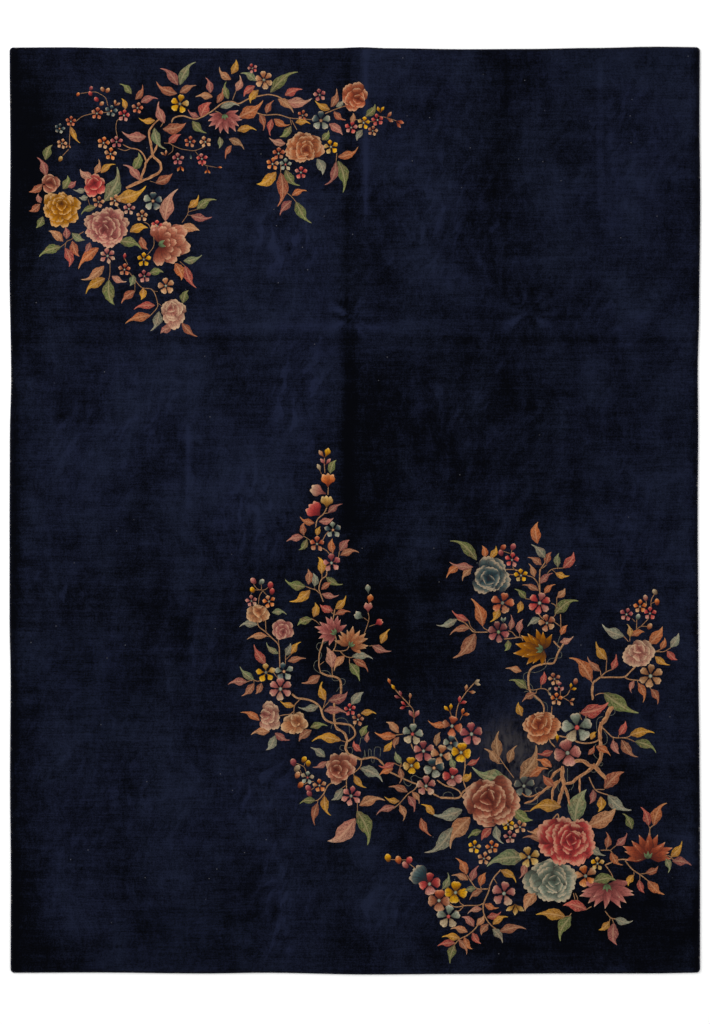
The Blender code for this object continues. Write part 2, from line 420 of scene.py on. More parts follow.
def petal_wool():
    """A petal's wools: deep in its throat, streaked along it and pale at its tip."""
    finish = Finish("petal_wool")
    along, across, out = finish.own_place()
    dye = finish.painted("dye")
    streaks = finish.node("ShaderNodeCombineXYZ", None, {0: along * 2.4, 1: across * 11.0, 2: 0.0})
    offset = finish.stretched(finish.places(), (30.0, 30.0, 0.0))
    streaks = finish.node("ShaderNodeVectorMath", {"operation": "ADD"}, {0: streaks, 1: offset})
    streaks = finish.cloud(streaks, 1.0, 3.0, 0.6)
    mottle = finish.cloud(finish.places(), 130.0, 3.0, 0.6)
    tip = finish.step(along + (streaks - 0.5) * 0.3, 0.86, 0.98)
    side = finish.step(out, 0.66, 0.94) * (1 - tip)
    colour = finish.mix((1 - finish.step(along, 0.0, 0.46)) * 0.5, dye, WOOL_SHADOW)
    colour = finish.mix(finish.step(streaks, 0.46, 0.66) * (1 - tip) * 0.50, colour, WOOL_SHADOW)
    colour = finish.mix(finish.step(mottle, 0.50, 0.68) * 0.30, colour, WOOL_SHADOW)
    colour = finish.mix(side * 0.34, colour, WOOL_SHADOW)
    colour = finish.mix(tip * 0.44, colour, WOOL_LIGHT)
    colour = finish.mix((finish.knots() - 0.25) * 0.34, colour, WOOL_SHADOW)
    return finish.finished(colour, tuft_grain(finish) + streaks, strength=0.4)


def bough_wool():
    """A bough's wools: mottled and fibrous, lit along one side."""
    finish = Finish("bough_wool")
    along, across, out = finish.own_place()
    dye = finish.painted("dye")
    fibres = finish.node("ShaderNodeCombineXYZ", None, {0: along * 60.0, 1: across * 4.0, 2: 0.0})
    fibres = finish.cloud(fibres, 1.0, 3.0, 0.6)
    mottle = finish.cloud(finish.places(), 170.0, 3.0, 0.6)
    colour = finish.mix(finish.step(mottle, 0.52, 0.70) * 0.55, dye, WOOL_SHADOW)
    colour = finish.mix(finish.step(mottle, 0.42, 0.28) * 0.50, colour, WOOL_LIGHT)
    colour = finish.mix(finish.step(fibres, 0.52, 0.75) * 0.40, colour, WOOL_SHADOW)
    colour = finish.mix(finish.step(across, 0.55, 0.95) * 0.22, colour, WOOL_LIGHT)
    colour = finish.mix((finish.knots() - 0.3) * 0.25, colour, WOOL_SHADOW)
    return finish.finished(colour, tuft_grain(finish) + fibres, strength=0.4)


def edging_yarn():
    """The dark yarn wound round the edges, a turn worn pale here and there."""
    finish = Finish("edging_yarn", roughness=0.85, specular=0.1)
    along, across, out = finish.own_place()
    turn = along.worked("FLOOR", along)
    lone = finish.node("ShaderNodeTexWhiteNoise", {"noise_dimensions": "1D"}, {"W": turn})
    wear = finish.cloud(finish.places(), 9.0, 3.0, 0.65)
    fibres = finish.cloud(finish.places(), 700.0, 2.0)
    worn = finish.step(lone + (wear - 0.5) * 0.9, 0.88, 1.05) * finish.step(fibres, 0.35, 0.6)
    colour = finish.mix(finish.step(fibres, 0.3, 0.8), YARN_DARK, YARN_LIGHT)
    colour = finish.mix(worn * 0.55, colour, YARN_WORN)
    return finish.finished(colour, fibres, strength=0.5)


# Tufted shapes


class Tufts:
    """Collects the low crowned shapes of one piece, with each point's place in its shape and its dye."""

    def __init__(self, name, finish):
        self.name = name
        self.finish = finish
        self.points = []
        self.faces = []
        self.own = []
        self.dyes = []

    def add(self, rows):
        """One closed shape. Each row runs from right to left across it, and the rows run from base to tip.

        A point is its place, its height over the pile, its place in the shape and its dye."""
        first = len(self.points)
        across, last = len(rows[0]), len(rows) - 1
        for row in rows:
            for place, height, own, dye in row:
                self.points.append((place.x, place.y, PILE_HEIGHT + fold_height(*place) + height))
                self.own.append(own)
                self.dyes.append(dye)
        for i in range(last):
            for j in range(across - 1):
                corner = first + i * across + j
                self.faces.append((corner, corner + across, corner + across + 1, corner + 1))
        rim = [first + i * across for i in range(last + 1)]
        rim += [first + last * across + j for j in range(1, across)]
        rim += [first + i * across + across - 1 for i in range(last - 1, -1, -1)]
        rim += [first + j for j in range(across - 2, 0, -1)]
        foot = len(self.points)
        for index in rim:
            x, y, z = self.points[index]
            self.points.append((x, y, z - TUFT_ROOT))
            self.own.append(self.own[index])
            self.dyes.append(self.dyes[index])
        for k, index in enumerate(rim):
            after = (k + 1) % len(rim)
            self.faces.append((index, foot + k, foot + after, rim[after]))
        self.faces.append(tuple(foot + k for k in range(len(rim) - 1, -1, -1)))

    def built(self):
        """The piece as an object, with its UV map, its dyes and its finish."""
        mesh = bpy.data.meshes.new(self.name)
        mesh.from_pydata(self.points, [], self.faces)
        dyes = mesh.color_attributes.new("dye", "FLOAT_COLOR", "POINT")
        dyes.data.foreach_set("color", [channel for dye in self.dyes for channel in dye])
        places = mesh.uv_layers.new(name="own")
        corners = [channel for loop in mesh.loops for channel in self.own[loop.vertex_index]]
        places.data.foreach_set("uv", corners)
        mesh.shade_smooth()
        mesh.set_sharp_from_angle(angle=math.radians(55))
        mesh.materials.append(self.finish)
        piece = bpy.data.objects.new(self.name, mesh)
        bpy.context.scene.collection.objects.link(piece)
        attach(piece, "root")
        return piece


TUFT_ROOT = 0.0022  # how deep a shape's side goes below its rim
RIM_HEIGHT = 0.0004  # how high a shape's rim stands over the pile
CROWN = 0.0017  # how much higher its middle stands
BOUGH_CROWN = 0.0013
LEAF_FULLNESS = 0.93  # a leaf's width as a share of the width in its table
BOUGH_FULLNESS = 0.88
TWIG_FULLNESS = 0.80
THICK, MIDDLING, THIN = 5, 2.5, 1.5  # widths in pixels, from which a bough is drawn as the next kind

# Half widths along a blade, as shares of its widest
LEAF = (
    (0.0, 0.06), (0.12, 0.46), (0.28, 0.88), (0.44, 1.0), (0.62, 0.82), (0.78, 0.42), (0.90, 0.16),
    (1.0, 0.02),
)
TAILED_LEAF = (
    (0.0, 0.06), (0.12, 0.52), (0.28, 0.94), (0.42, 1.0), (0.58, 0.70), (0.70, 0.32), (0.88, 0.16),
    (1.0, 0.03),
)
DROP = ((0.0, 0.10), (0.30, 0.32), (0.60, 0.92), (0.78, 1.0), (0.93, 0.78), (1.0, 0.40))
WEDGE = ((0.0, 0.12), (0.40, 0.60), (0.74, 1.0), (0.92, 0.90), (1.0, 0.62))
BROAD = ((0.0, 0.26), (0.35, 0.74), (0.68, 1.0), (0.88, 0.92), (1.0, 0.58))
ROUND = ((0.0, 0.22), (0.40, 0.72), (0.72, 1.0), (0.92, 0.94), (1.0, 0.70))
BERRY = ((0.0, 0.30), (0.25, 0.76), (0.55, 1.0), (0.85, 0.84), (1.0, 0.50))
POINTED = ((0.0, 0.44), (0.30, 0.92), (0.46, 1.0), (0.70, 0.62), (0.88, 0.22), (1.0, 0.02))

# Shades along a blade, from 0, deep, to 1, pale
LEAF_SHADES = ((0.0, 0.22), (0.5, 0.40), (0.8, 0.54), (1.0, 0.95))
PETAL_SHADES = ((0.0, 0.20), (0.45, 0.36), (0.8, 0.72), (1.0, 1.0))
CUPPED_SHADES = ((0.0, 0.06), (0.55, 0.10), (0.78, 0.36), (0.92, 0.60), (1.0, 0.88))
LOBED_SHADES = ((0.0, 0.08), (0.35, 0.12), (0.62, 0.36), (0.86, 0.70), (1.0, 0.94))
LOBE = 0.021  # how wide one wave of a petal's rim is, in metres
SCALLOP = 0.075  # how deep a petal's rim waves, as a share of its length


def blade(tufts, base, tip, width, widths, wool, shades=PETAL_SHADES, bow=0.0, hook=0.0, layer=0.0, lift=0.0,
          round_tip=0.0, notch=0.0, scallops=0, ruffle=0.0, crown=CROWN, rows=8, columns=4, lighter=0.0):
    """One leaf or petal, from its base to its tip, in metres.

    bow bends its middle sideways and hook its tip, as shares of its length. round_tip swells the end,
    notch dents it, scallops wave it and ruffle waves its sides. lift is how much its tip rises."""
    chord = tip - base
    length = chord.length
    heading = chord / length
    side = Vector((-heading.y, heading.x))
    phase = CHANCE.uniform(0, math.tau)
    change = CHANCE.uniform(-0.18, 0.14) + lighter

    def middle(u):
        curl = max(u - 0.62, 0.0) / 0.38
        sideways = bow * 4 * u * (1 - u) + hook * (curl * curl - u)
        return base + chord * u + side * (length * sideways)

    shape = []
    for i in range(rows + 1):
        u = i / rows
        ahead = middle(min(u + 0.02, 1.0)) - middle(max(u - 0.02, 0.0))
        ahead.normalize()
        left = Vector((-ahead.y, ahead.x))
        half = width / 2 * eased(widths, u) * CHANCE.uniform(0.96, 1.04)
        shade = eased(shades, u)
        row = []
        for j in range(columns + 1):
            v = 2 * j / columns - 1
            wave = 1 + ruffle * math.sin(13 * u + phase + (2 if v > 0 else 0))
            swell = round_tip * (1 - v * v) - notch * math.exp(-((v / 0.34) ** 2))
            if scallops:
                swell += SCALLOP * (abs(math.sin(math.pi * scallops * (v + 1) / 2)) - 0.6)
            place = middle(u) + left * (v * half * wave) + ahead * (length * swell * u ** 5)
            rise = max(1 - v * v, 0.0) ** 0.7 * math.sin(math.pi * min(0.12 + 0.80 * u, 1.0)) ** 0.5
            height = layer + lift * u + RIM_HEIGHT + crown * rise
            row.append((place, height, (u, (v + 1) / 2), dyed(wool, shade + 0.08 * v, change)))
        shape.append(row)
    tufts.add(shape)


def dome(tufts, place, radius, wool, layer=0.0, shades=(0.25, 0.85), sides=12):
    """A round flower centre, painted paler towards its top and darker round its edge, as light and shade on
    a dome.
    """
    rows = []
    across = sides // 2
    for i in range(across + 1):
        down = -math.cos(math.pi * i / across)
        half = max(math.sin(math.pi * i / across), 0.10)
        row = []
        for j in range(across + 1):
            v = 2 * j / across - 1
            spot = place + Vector((v * half, down)) * radius
            rise = math.sqrt(max(1 - (v * half) ** 2 - down * down, 0.0))
            # painted highlight on the dome's top and painted shade round its foot, following its height
            shade = shades[0] + (shades[1] - shades[0]) * rise
            row.append((spot, layer + RIM_HEIGHT + CROWN * rise, (0.6, 0.5), dyed(wool, shade)))
        rows.append(row[::-1])
    tufts.add(rows)


def berry(tufts, across, down, radius, wool):
    """A small round bud, dark where it sits and pale at its end."""
    place, reach = at(across, down), 1.12 * radius * PIXEL
    way = turned(90 + CHANCE.uniform(-50, 50), reach)
    shades = ((0.0, 0.0), (0.4, 0.2), (0.8, 0.7), (1.0, 1.0))
    blade(tufts, place - way * 0.95, place + way * 0.85, 1.55 * reach, BERRY, wool, shades, layer=0.0005,
          round_tip=0.10, rows=6, columns=4)


def turned(angle, reach):
    """A step of some reach in a direction given in degrees, anticlockwise from the rug's right."""
    return Vector((math.cos(math.radians(angle)), math.sin(math.radians(angle)))) * reach


BLOSSOM_FORMS = {  # a petal's fullness, and its half widths
    "drop": (1.06, DROP),
    "heart": (1.18, WEDGE),
    "round": (1.26, BROAD),
}
HEARTS = {  # the wool of a blossom's heart, celadon for any wool that isn't named
    "rust": "celadon", "coral": "celadon", "celadon": "coral", "sage": "coral", "mauve": "sage",
    "teal": "peach",
}
PARTNERS = {  # the paler wool that some petals of a blossom are knotted in
    "teal": "celadon", "mustard": "straw", "coral": "pink", "rose": "pink", "rust": "terracotta",
    "orange": "peach", "terracotta": "peach", "mauve": "rose", "celadon": "cream", "pink": "blush",
}


def blossom(tufts, across, down, radius, petals, wool, shape="drop"):
    """A small open blossom of separate petals round a small heart, its upper petals in shade."""
    place, reach = at(across, down), radius * PIXEL
    start = 90 + CHANCE.uniform(-14, 14)
    fullness, form = BLOSSOM_FORMS[shape]
    width = fullness * reach * math.sin(math.pi / petals)
    plain = shape == "drop"
    for k in range(petals):
        angle = start + 360 * k / petals + CHANCE.uniform(-5, 5)
        far = CHANCE.uniform(0.82, 0.92) * reach
        base, tip = place + turned(angle, 0.15 * reach), place + turned(angle, far)
        low = 0.5 - 0.5 * math.sin(math.radians(angle))
        shades = ((0.0, 0.10 + 0.16 * low), (0.45, 0.24 + 0.46 * low), (1.0, 0.84 + 0.16 * low))
        own_wool = PARTNERS.get(wool, wool) if CHANCE.random() < 0.15 + 0.35 * low else wool
        blade(tufts, base, tip, width * CHANCE.uniform(0.90, 1.08), form, own_wool, shades, layer=0.0006,
              round_tip=0.10, notch=0.0 if plain else 0.09, rows=6, columns=4 if plain else 6,
              crown=0.0014, bow=CHANCE.uniform(-0.05, 0.05), ruffle=0.0 if plain else 0.04,
              lighter=0.06 if plain else -0.04)
    dome(tufts, place, 0.15 * reach, HEARTS.get(wool, "celadon"), layer=0.0010, sides=8)


def small_petals(tufts, across, down, angle, spread, count, size, wool):
    """A half-open blossom or a pair of buds: a few petals fanned about a direction."""
    place, reach = at(across, down), size * PIXEL
    cupped = spread < 50 and size > 9
    width = 0.56 if cupped else 0.44
    for k in sorted(range(count), key=lambda k: -abs(k - (count - 1) / 2)):
        turn = angle + (k - (count - 1) / 2) * spread * (0.62 if cupped else 1.0)
        tip = place + turned(turn, reach * (0.82 if cupped else 0.90))
        shades = ((0.0, 0.0), (0.45, 0.20), (0.8, 0.62), (1.0, 1.0))
        blade(tufts, place, tip, width * reach * CHANCE.uniform(0.94, 1.06), DROP, wool, shades,
              layer=0.0006 + 0.0001 * k, round_tip=0.12, rows=7, columns=6, bow=CHANCE.uniform(-0.06, 0.06))


def leaf(tufts, from_across, from_down, to_across, to_down, width, wool):
    """A leaf, bent a little one way; a long one ends in a fine tail."""
    base, tip = at(from_across, from_down), at(to_across, to_down)
    length = (tip - base).length
    tailed = length > 2.0 * width * PIXEL
    way = CHANCE.choice((-1, 1))
    form = TAILED_LEAF if tailed else LEAF
    blade(tufts, base, tip, LEAF_FULLNESS * width * PIXEL, form, wool, LEAF_SHADES,
          bow=way * CHANCE.uniform(0.03, 0.08), hook=-way * CHANCE.uniform(0.05, 0.16), layer=0.0003,
          ruffle=0.07, rows=12, columns=6)


def smooth_path(points, spacing):
    """Places along a smooth curve through some points."""
    ends = [points[0] * 2 - points[1], *points, points[-1] * 2 - points[-2]]
    path = []
    for before, start, end, after in zip(ends, ends[1:], ends[2:], ends[3:]):
        steps = max(2, round((end - start).length / spacing))
        for k in range(steps + (end is points[-1])):
            t = k / steps
            place = (
                start * 2 + (end - before) * t + (before * 2 - start * 5 + end * 4 - after) * t ** 2
                + (start * 3 - before - end * 3 + after) * t ** 3
            ) * 0.5
            path.append(place)
    return path


def bough(tufts, from_width, to_width, wool, *route):
    """A bough, twig or tendril: a crowned ribbon that tapers along a smooth route."""
    stops = [at(*stop) for stop in zip(route[::2], route[1::2])]
    path = smooth_path(stops, max(1.3 * PIXEL, from_width * PIXEL * 0.6))
    columns = 4 if from_width > THIN else 2
    fullness = TWIG_FULLNESS if from_width < THICK else BOUGH_FULLNESS
    knots = 0.60 if from_width > MIDDLING else 0.30 if from_width > THIN else 0.10
    rows, run = [], 0.0
    for k, place in enumerate(path):
        ahead = (path[min(k + 1, len(path) - 1)] - path[max(k - 1, 0)]).normalized()
        left = Vector((-ahead.y, ahead.x))
        share = k / (len(path) - 1)
        run += (place - path[max(k - 1, 0)]).length
        half = (from_width + (to_width - from_width) * share) * fullness * PIXEL / 2
        half *= 0.62 if k in (0, len(path) - 1) else 1.0
        row = []
        for j in range(columns + 1):
            v = 2 * j / columns - 1
            wide = half * (1 + knots * noise.noise(Vector((run * 60, 7.0 * v, half * 900))))
            height = RIM_HEIGHT + BOUGH_CROWN * max(1 - v * v, 0.0) ** 0.7
            shade = 0.62 - 0.26 * v + CHANCE.uniform(-0.34, 0.30)
            row.append((place + left * (v * wide), height, (run * 10, (v + 1) / 2), dyed(wool, shade)))
        rows.append(row)
    tufts.add(rows)


def peony(tufts, across, down, width, height, facing, lean, wool, outer, rounds):
    """A full bloom of overlapping petals, round upon round, its heart set off to one side."""
    heart = at(across, down)
    size = max(width, height) * PIXEL / 2
    squash = Vector((width, height)) / max(width, height)
    small = size < 17 * PIXEL
    swells = [(turns, CHANCE.uniform(0, 360), CHANCE.uniform(0.03, 0.07)) for turns in (2, 3)]
    for level in range(rounds):
        share = (1 - level / rounds) ** 0.92
        count = max(3, round(outer * (0.36 + 0.64 * share)))
        middle = heart + turned(facing, size * lean * (1 - share) * 1.8)
        start = CHANCE.uniform(0, 360)
        order = list(range(count))
        CHANCE.shuffle(order)
        for k in range(count):
            angle = start + 360 * k / count + CHANCE.uniform(-80, 80) / count
            toward = math.cos(math.radians(angle - facing))
            long = size * share * (1 - 0.30 * lean * toward) * CHANCE.uniform(0.84, 1.06)
            long *= 1 + sum(swell * math.cos(math.radians(turns * angle + off))
                            for turns, off, swell in swells)
            out = turned(angle, 1.0)
            out = Vector((out.x * squash.x, out.y * squash.y))
            base = middle - out * (long * 0.10)
            wide = (0.98 if small else 1.06) + 0.20 * level / rounds
            petal_width = wide * 2 * long * math.sin(math.pi / count) * CHANCE.uniform(0.90, 1.12)
            lit = -0.16 * math.sin(math.radians(angle)) - 0.20 + 0.12 * level / rounds
            lobes = min(3, int(petal_width / LOBE)) if petal_width > 2 * LOBE else 0
            blade(tufts, base, middle + out * (long * 0.88), petal_width, ROUND, wool,
                  LOBED_SHADES if rounds < 5 else CUPPED_SHADES,
                  bow=CHANCE.uniform(-0.10, 0.10),
                  layer=0.0004 + 0.0026 * level / rounds + 0.00010 * order[k],
                  lift=0.0006, round_tip=0.15, scallops=lobes, ruffle=0.04, crown=0.0007,
                  rows=9, columns=12 if lobes else 6, lighter=lit)


ROOT_SHARE = 0.62  # how far a bloom's root lies behind its middle, as a share of its half size


def fan(tufts, across, down, width, height, facing, wool, rounds, form, slender, shades, **shape):
    """A bloom seen from its side: its petals fan out one way from the calyx that they hide."""
    half = Vector((width, height)) * PIXEL / 2
    along = turned(facing, 1.0)
    root = at(across, down) - Vector((along.x * half.x, along.y * half.y)) * ROOT_SHARE
    for level, (count, reach, spread) in enumerate(rounds):
        order = sorted(range(count), key=lambda k: -abs(k - (count - 1) / 2))
        for step, k in enumerate(order):
            off = spread * (k / (count - 1) - 0.5)
            angle = facing + off + CHANCE.uniform(-4, 4)
            far = reach * (1.60 - 0.50 * min(abs(off) / 100, 1.2)) * CHANCE.uniform(0.92, 1.06)
            out = turned(angle, far)
            tip = root + Vector((out.x * half.x, out.y * half.y))
            base = root + (tip - root) * 0.05
            blade(tufts, base, tip, (tip - base).length * slender, form, wool, shades,
                  bow=CHANCE.uniform(-0.05, 0.05), layer=0.0005 + 0.0006 * level + 0.00010 * step,
                  lift=0.0004, crown=0.0006, rows=9, **shape)


def calyx(tufts, across, down, size, facing, angles, below, above, slender):
    """The small green leaves that hold a bloom seen from its side, in shares of its half size."""
    half = size * PIXEL / 2
    root = at(across, down) - turned(facing, half * ROOT_SHARE)
    for off in angles:
        base, tip = root - turned(facing, half * below), root + turned(facing + off, half * above)
        blade(tufts, base, tip, half * slender, LEAF, "sage", LEAF_SHADES, layer=0.0026, rows=6)


def star_bloom(tufts, across, down, width, height, facing, wool):
    """A bloom of sharp, slender petals, fanned from a small calyx."""
    rounds = ((6, 0.94, 205), (5, 0.84, 150), (3, 0.60, 80))
    shades = ((0.0, 0.0), (0.45, 0.20), (0.80, 0.55), (1.0, 1.0))
    fan(tufts, across, down, width, height, facing, wool, rounds, POINTED, 0.42, shades,
        ruffle=0.05, columns=6)
    calyx(tufts, across, down, min(width, height), facing, (-50, 0, 50), 0.16, 0.34, 0.20)


def half_bloom(tufts, across, down, width, height, facing, wool):
    """A peony seen from its side, with broad scalloped petals."""
    rounds = ((6, 0.98, 210), (5, 0.76, 150), (3, 0.52, 80), (2, 0.30, 30))
    fan(tufts, across, down, width, height, facing, wool, rounds, ROUND, 0.72, LOBED_SHADES,
        ruffle=0.05, round_tip=0.16, scallops=2, columns=12)
    calyx(tufts, across, down, min(width, height), facing, (-40, 40), 0.20, 0.30, 0.24)


FAR_LEAVES = (  # base across, base down, tip across, tip down, width, wool
    (178, 85, 160, 68.5, 10, "rose"), (180, 85, 196, 62, 10, "sage"),
    (177, 93.5, 156.5, 81.5, 10, "rust"), (180, 93, 196.5, 85.5, 8, "terracotta"),
    (131.5, 94, 119.5, 84, 7, "moss"), (135.5, 99.5, 142.5, 84.5, 7, "rust"),
    (141, 102.5, 158, 99, 8, "rose"), (125.5, 109.5, 121.5, 98.5, 6, "mustard"),
    (155, 120.5, 139, 118, 7, "mustard"), (164.5, 123, 159, 101.5, 10, "pink"),
    (154.5, 128, 166, 149, 10, "sage"), (163, 129, 186, 123, 12, "rust"),
    (168.5, 143.5, 181, 134.5, 8, "coral"), (146, 136.5, 122, 131.5, 11, "pink"),
    (155.5, 183, 172.5, 173.5, 10, "rust"), (133, 170, 138.5, 152.5, 10, "moss"),
    (140, 180, 123, 165, 9, "pink"), (101, 173, 115.5, 164.5, 7, "mustard"),
    (95, 174, 98.5, 159, 7, "peach"), (94, 178, 80, 169, 9, "blush"), (104.5, 201, 117, 167, 16, "sage"),
    (116, 199, 146, 186, 15, "mustard"), (86, 190, 73, 189.5, 6, "celadon"),
    (88, 197, 79, 197.5, 6, "celadon"), (63, 189, 67.5, 175.5, 9, "moss"),
    (67.5, 187, 76, 181, 7, "rose"), (46, 176, 37, 157.5, 9, "rose"), (45.5, 160, 52.5, 145, 9, "moss"),
    (42.5, 184, 29, 192, 8, "rust"), (41, 203, 38.5, 193.5, 6, "pink"), (40, 204, 29, 211, 8, "rust"),
    (71, 127, 80, 143, 6, "mustard"), (43, 216.5, 36, 228, 8, "moss"), (96, 207, 81, 215, 7, "moss"),
    (66.5, 239, 65, 227, 8, "rose"), (63, 241.5, 48.5, 231, 9, "peach"), (72, 233, 85, 240, 8, "sage"),
    (61, 247, 39, 257, 10, "moss"), (65, 248, 69, 267, 10, "coral"), (72.5, 241, 79.5, 256.5, 9, "rust"),
    (90, 242.5, 84, 252.5, 7, "rose"), (98.5, 248, 78.5, 269, 11, "orange"),
    (104, 266, 81, 279.5, 10, "peach"), (105, 278.5, 86, 294, 11, "mustard"),
    (109, 280, 114.5, 305, 13, "moss"), (112, 276, 127, 281.5, 7, "blush"),
    (119, 241.5, 141.5, 249.5, 11, "moss"), (130, 232, 148, 228, 10, "mustard"),
    (141, 237, 148, 249.5, 8, "rust"), (133, 275, 130, 286, 8, "sage"),
    (135, 291, 121.5, 303.5, 9, "rust"), (143, 288, 141, 300, 8, "mustard"),
    (155, 305.5, 134, 309.5, 8, "coral"), (150.5, 315.5, 125.5, 323.5, 10, "orange"),
    (159, 311.5, 150.5, 331, 10, "celadon"), (172, 327, 160.5, 333.5, 9, "pink"),
    (182, 323, 197.5, 336.5, 8, "rust"), (183, 303, 188.5, 290.5, 9, "moss"),
    (149.5, 273.5, 163.5, 272.5, 8, "moss"), (175, 263.5, 181.5, 280.5, 11, "orange"),
    (185, 266, 196.5, 288, 10, "coral"), (183.5, 261, 202, 255, 8, "sage"),
    (180, 227.5, 199.5, 230.5, 10, "peach"), (191, 215.5, 212, 217, 9, "rose"),
    (197, 209.5, 216.5, 200, 9, "moss"), (188.5, 207.5, 198.5, 195, 8, "mustard"),
    (165.5, 221, 178, 189, 15, "blush"), (210.5, 93, 205.5, 77.5, 8, "rose"),
    (212.5, 97, 195.5, 97, 8, "peach"), (217, 103, 222.5, 88, 7, "rust"),
    (228.5, 99, 226.5, 81.5, 8, "moss"), (231, 79.5, 219.5, 67, 8, "peach"),
    (231.5, 74, 236, 59.5, 8, "mustard"), (236, 91, 239.5, 75, 8, "blush"),
    (256, 81, 240.5, 73.5, 8, "sage"), (255, 86, 244, 97, 8, "coral"),
    (258.5, 90, 250.5, 103.5, 8, "mustard"), (270.5, 92.5, 298, 72, 11, "moss"),
    (285, 95.5, 302.5, 89.5, 9, "coral"), (287, 101.5, 312, 98.5, 12, "blush"),
    (278, 99, 293.5, 113, 9, "peach"), (266.5, 113.5, 274, 100.5, 7, "rust"),
    (201, 117, 211.5, 102.5, 12, "coral"), (199, 117, 188, 109.5, 6, "rose"),
    (220.5, 107.5, 239.5, 106, 8, "celadon"), (239, 117, 263, 100.5, 14, "orange"),
    (237.5, 131, 256.5, 130.5, 8, "mustard"), (192.5, 121, 206.5, 133, 9, "moss"),
    (219.5, 137, 219, 148.5, 6, "sage"), (229, 139, 244, 149.5, 8, "tan"),
    (231.5, 145.5, 225.5, 159, 6, "rust"), (259.5, 114, 263, 131, 7, "rust"),
    (272, 119, 270.5, 136, 7, "coral"), (274, 119, 290, 124.5, 8, "orange"),
    (291, 126, 279.5, 137, 8, "moss"), (295.5, 122.5, 310.5, 124, 7, "mustard"),
    (285.5, 143.5, 269, 137.5, 8, "blush"), (329, 124, 342.5, 135, 9, "pink"),
    (330, 109.5, 315, 100.5, 8, "mustard"), (331, 107, 336.5, 88.5, 8, "terracotta"),
    (336, 107, 343, 100, 6, "celadon"), (334, 111.5, 346, 120, 7, "rust"),
    (322, 140, 328.5, 130.5, 8, "moss"), (317, 159, 322.5, 175, 10, "celadon"),
    (336, 162, 324.5, 185, 9, "rose"), (338, 161, 343, 192.5, 12, "moss"),
    (338, 157, 358, 147, 9, "orange"), (276, 172, 256.5, 184, 12, "mustard"),
    (280.5, 173, 277.5, 206.5, 13, "rust"), (285.5, 170, 300, 185.5, 10, "moss"),
    (292, 195.5, 307, 191, 7, "orange"), (291.5, 201, 280, 215.5, 9, "rose"),
    (296, 202, 311.5, 223, 11, "moss"), (365.5, 116.5, 375, 104, 8, "moss"),
    (362.5, 130, 357, 141, 7, "celadon"), (351, 123, 353, 113, 6, "peach"),
)

FAR_BLOSSOMS = (  # across, down, radius, petals, wool, petal shape
    (180, 104, 10, 5, "mustard", "heart"), (97, 113.5, 6.5, 5, "rust", "drop"),
    (111.3, 111, 6.5, 5, "teal", "drop"), (124, 115.5, 6.5, 5, "coral", "drop"),
    (137.6, 108, 6.3, 5, "rust", "drop"), (71, 121.5, 5.6, 5, "rust", "drop"),
    (59.7, 128.6, 5.6, 5, "teal", "drop"), (62, 143.6, 5.6, 5, "peach", "drop"),
    (103.6, 143, 6.6, 5, "orange", "drop"), (116.6, 142, 6.6, 5, "rose", "drop"),
    (110.6, 154, 6.8, 5, "orange", "drop"), (98.6, 202, 6.5, 5, "terracotta", "drop"),
    (115, 200.7, 6.5, 5, "peach", "drop"), (129, 209, 6.6, 5, "pink", "drop"),
    (142, 216, 6.4, 5, "peach", "drop"), (157, 226, 6.6, 5, "coral", "drop"),
    (178, 159, 6.6, 5, "rose", "drop"), (190, 142, 6.3, 5, "rust", "drop"),
    (205.3, 142, 6.4, 5, "peach", "drop"), (202, 159, 6.3, 5, "coral", "drop"),
    (252.5, 68.5, 5.3, 5, "coral", "drop"), (264, 80, 10, 6, "peach", "heart"),
    (319.7, 95, 6.8, 5, "rose", "drop"), (302.7, 115.5, 5.6, 5, "rust", "drop"),
    (321, 120.6, 10.2, 5, "teal", "heart"), (331, 147, 8, 5, "mustard", "drop"),
    (278.6, 153.6, 6.8, 5, "rust", "drop"), (272.6, 164, 6.9, 5, "orange", "drop"),
    (285.6, 164.6, 6.6, 5, "celadon", "drop"), (301, 172.6, 6.9, 5, "coral", "drop"),
    (351.3, 127.7, 6.8, 5, "coral", "drop"), (363.7, 123, 6.8, 5, "mustard", "drop"),
    (377.6, 120, 6.6, 5, "coral", "drop"), (372.8, 131, 5.6, 5, "terracotta", "drop"),
    (107.6, 256, 8.6, 6, "pink", "drop"), (124.6, 269.6, 6.6, 5, "rust", "drop"),
    (144, 259.6, 7.6, 5, "mustard", "drop"), (144.6, 276.3, 6.9, 5, "rose", "drop"),
    (166, 286, 9, 5, "peach", "heart"), (153, 201, 10.2, 5, "teal", "heart"),
)

FAR_BUDS = (  # across, down, direction, spread, count, size, wool
    (165.7, 156, 115, 60, 2, 6, "peach"), (180.5, 166, -90, 60, 2, 6, "orange"),
    (207.5, 169, -90, 60, 2, 5, "orange"), (191, 153, -90, 0, 1, 6, "teal"),
    (202.5, 161, -90, 0, 1, 5, "coral"), (380.7, 113, 90, 55, 2, 7, "mustard"),
    (386, 118, 10, 75, 2, 8, "terracotta"), (396, 121, -35, 40, 2, 8, "rust"),
    (217, 167.5, 0, 0, 1, 5, "orange"), (124, 260, 80, 0, 1, 7, "coral"),
    (68.3, 144.5, -90, 70, 2, 4, "peach"), (115, 106, 60, 60, 2, 6, "peach"),
)

FAR_BERRIES = (  # across, down, radius, wool
    (78, 94.5, 1.9, "orange"), (91, 88.5, 2.1, "rose"), (90.5, 93.7, 2.3, "coral"),
    (102.6, 89.5, 2.3, "peach"), (107.6, 90.5, 2.4, "peach"), (96.6, 99.5, 2.5, "coral"),
    (101.6, 103.8, 2.3, "peach"), (60.5, 159, 2.5, "straw"),
)

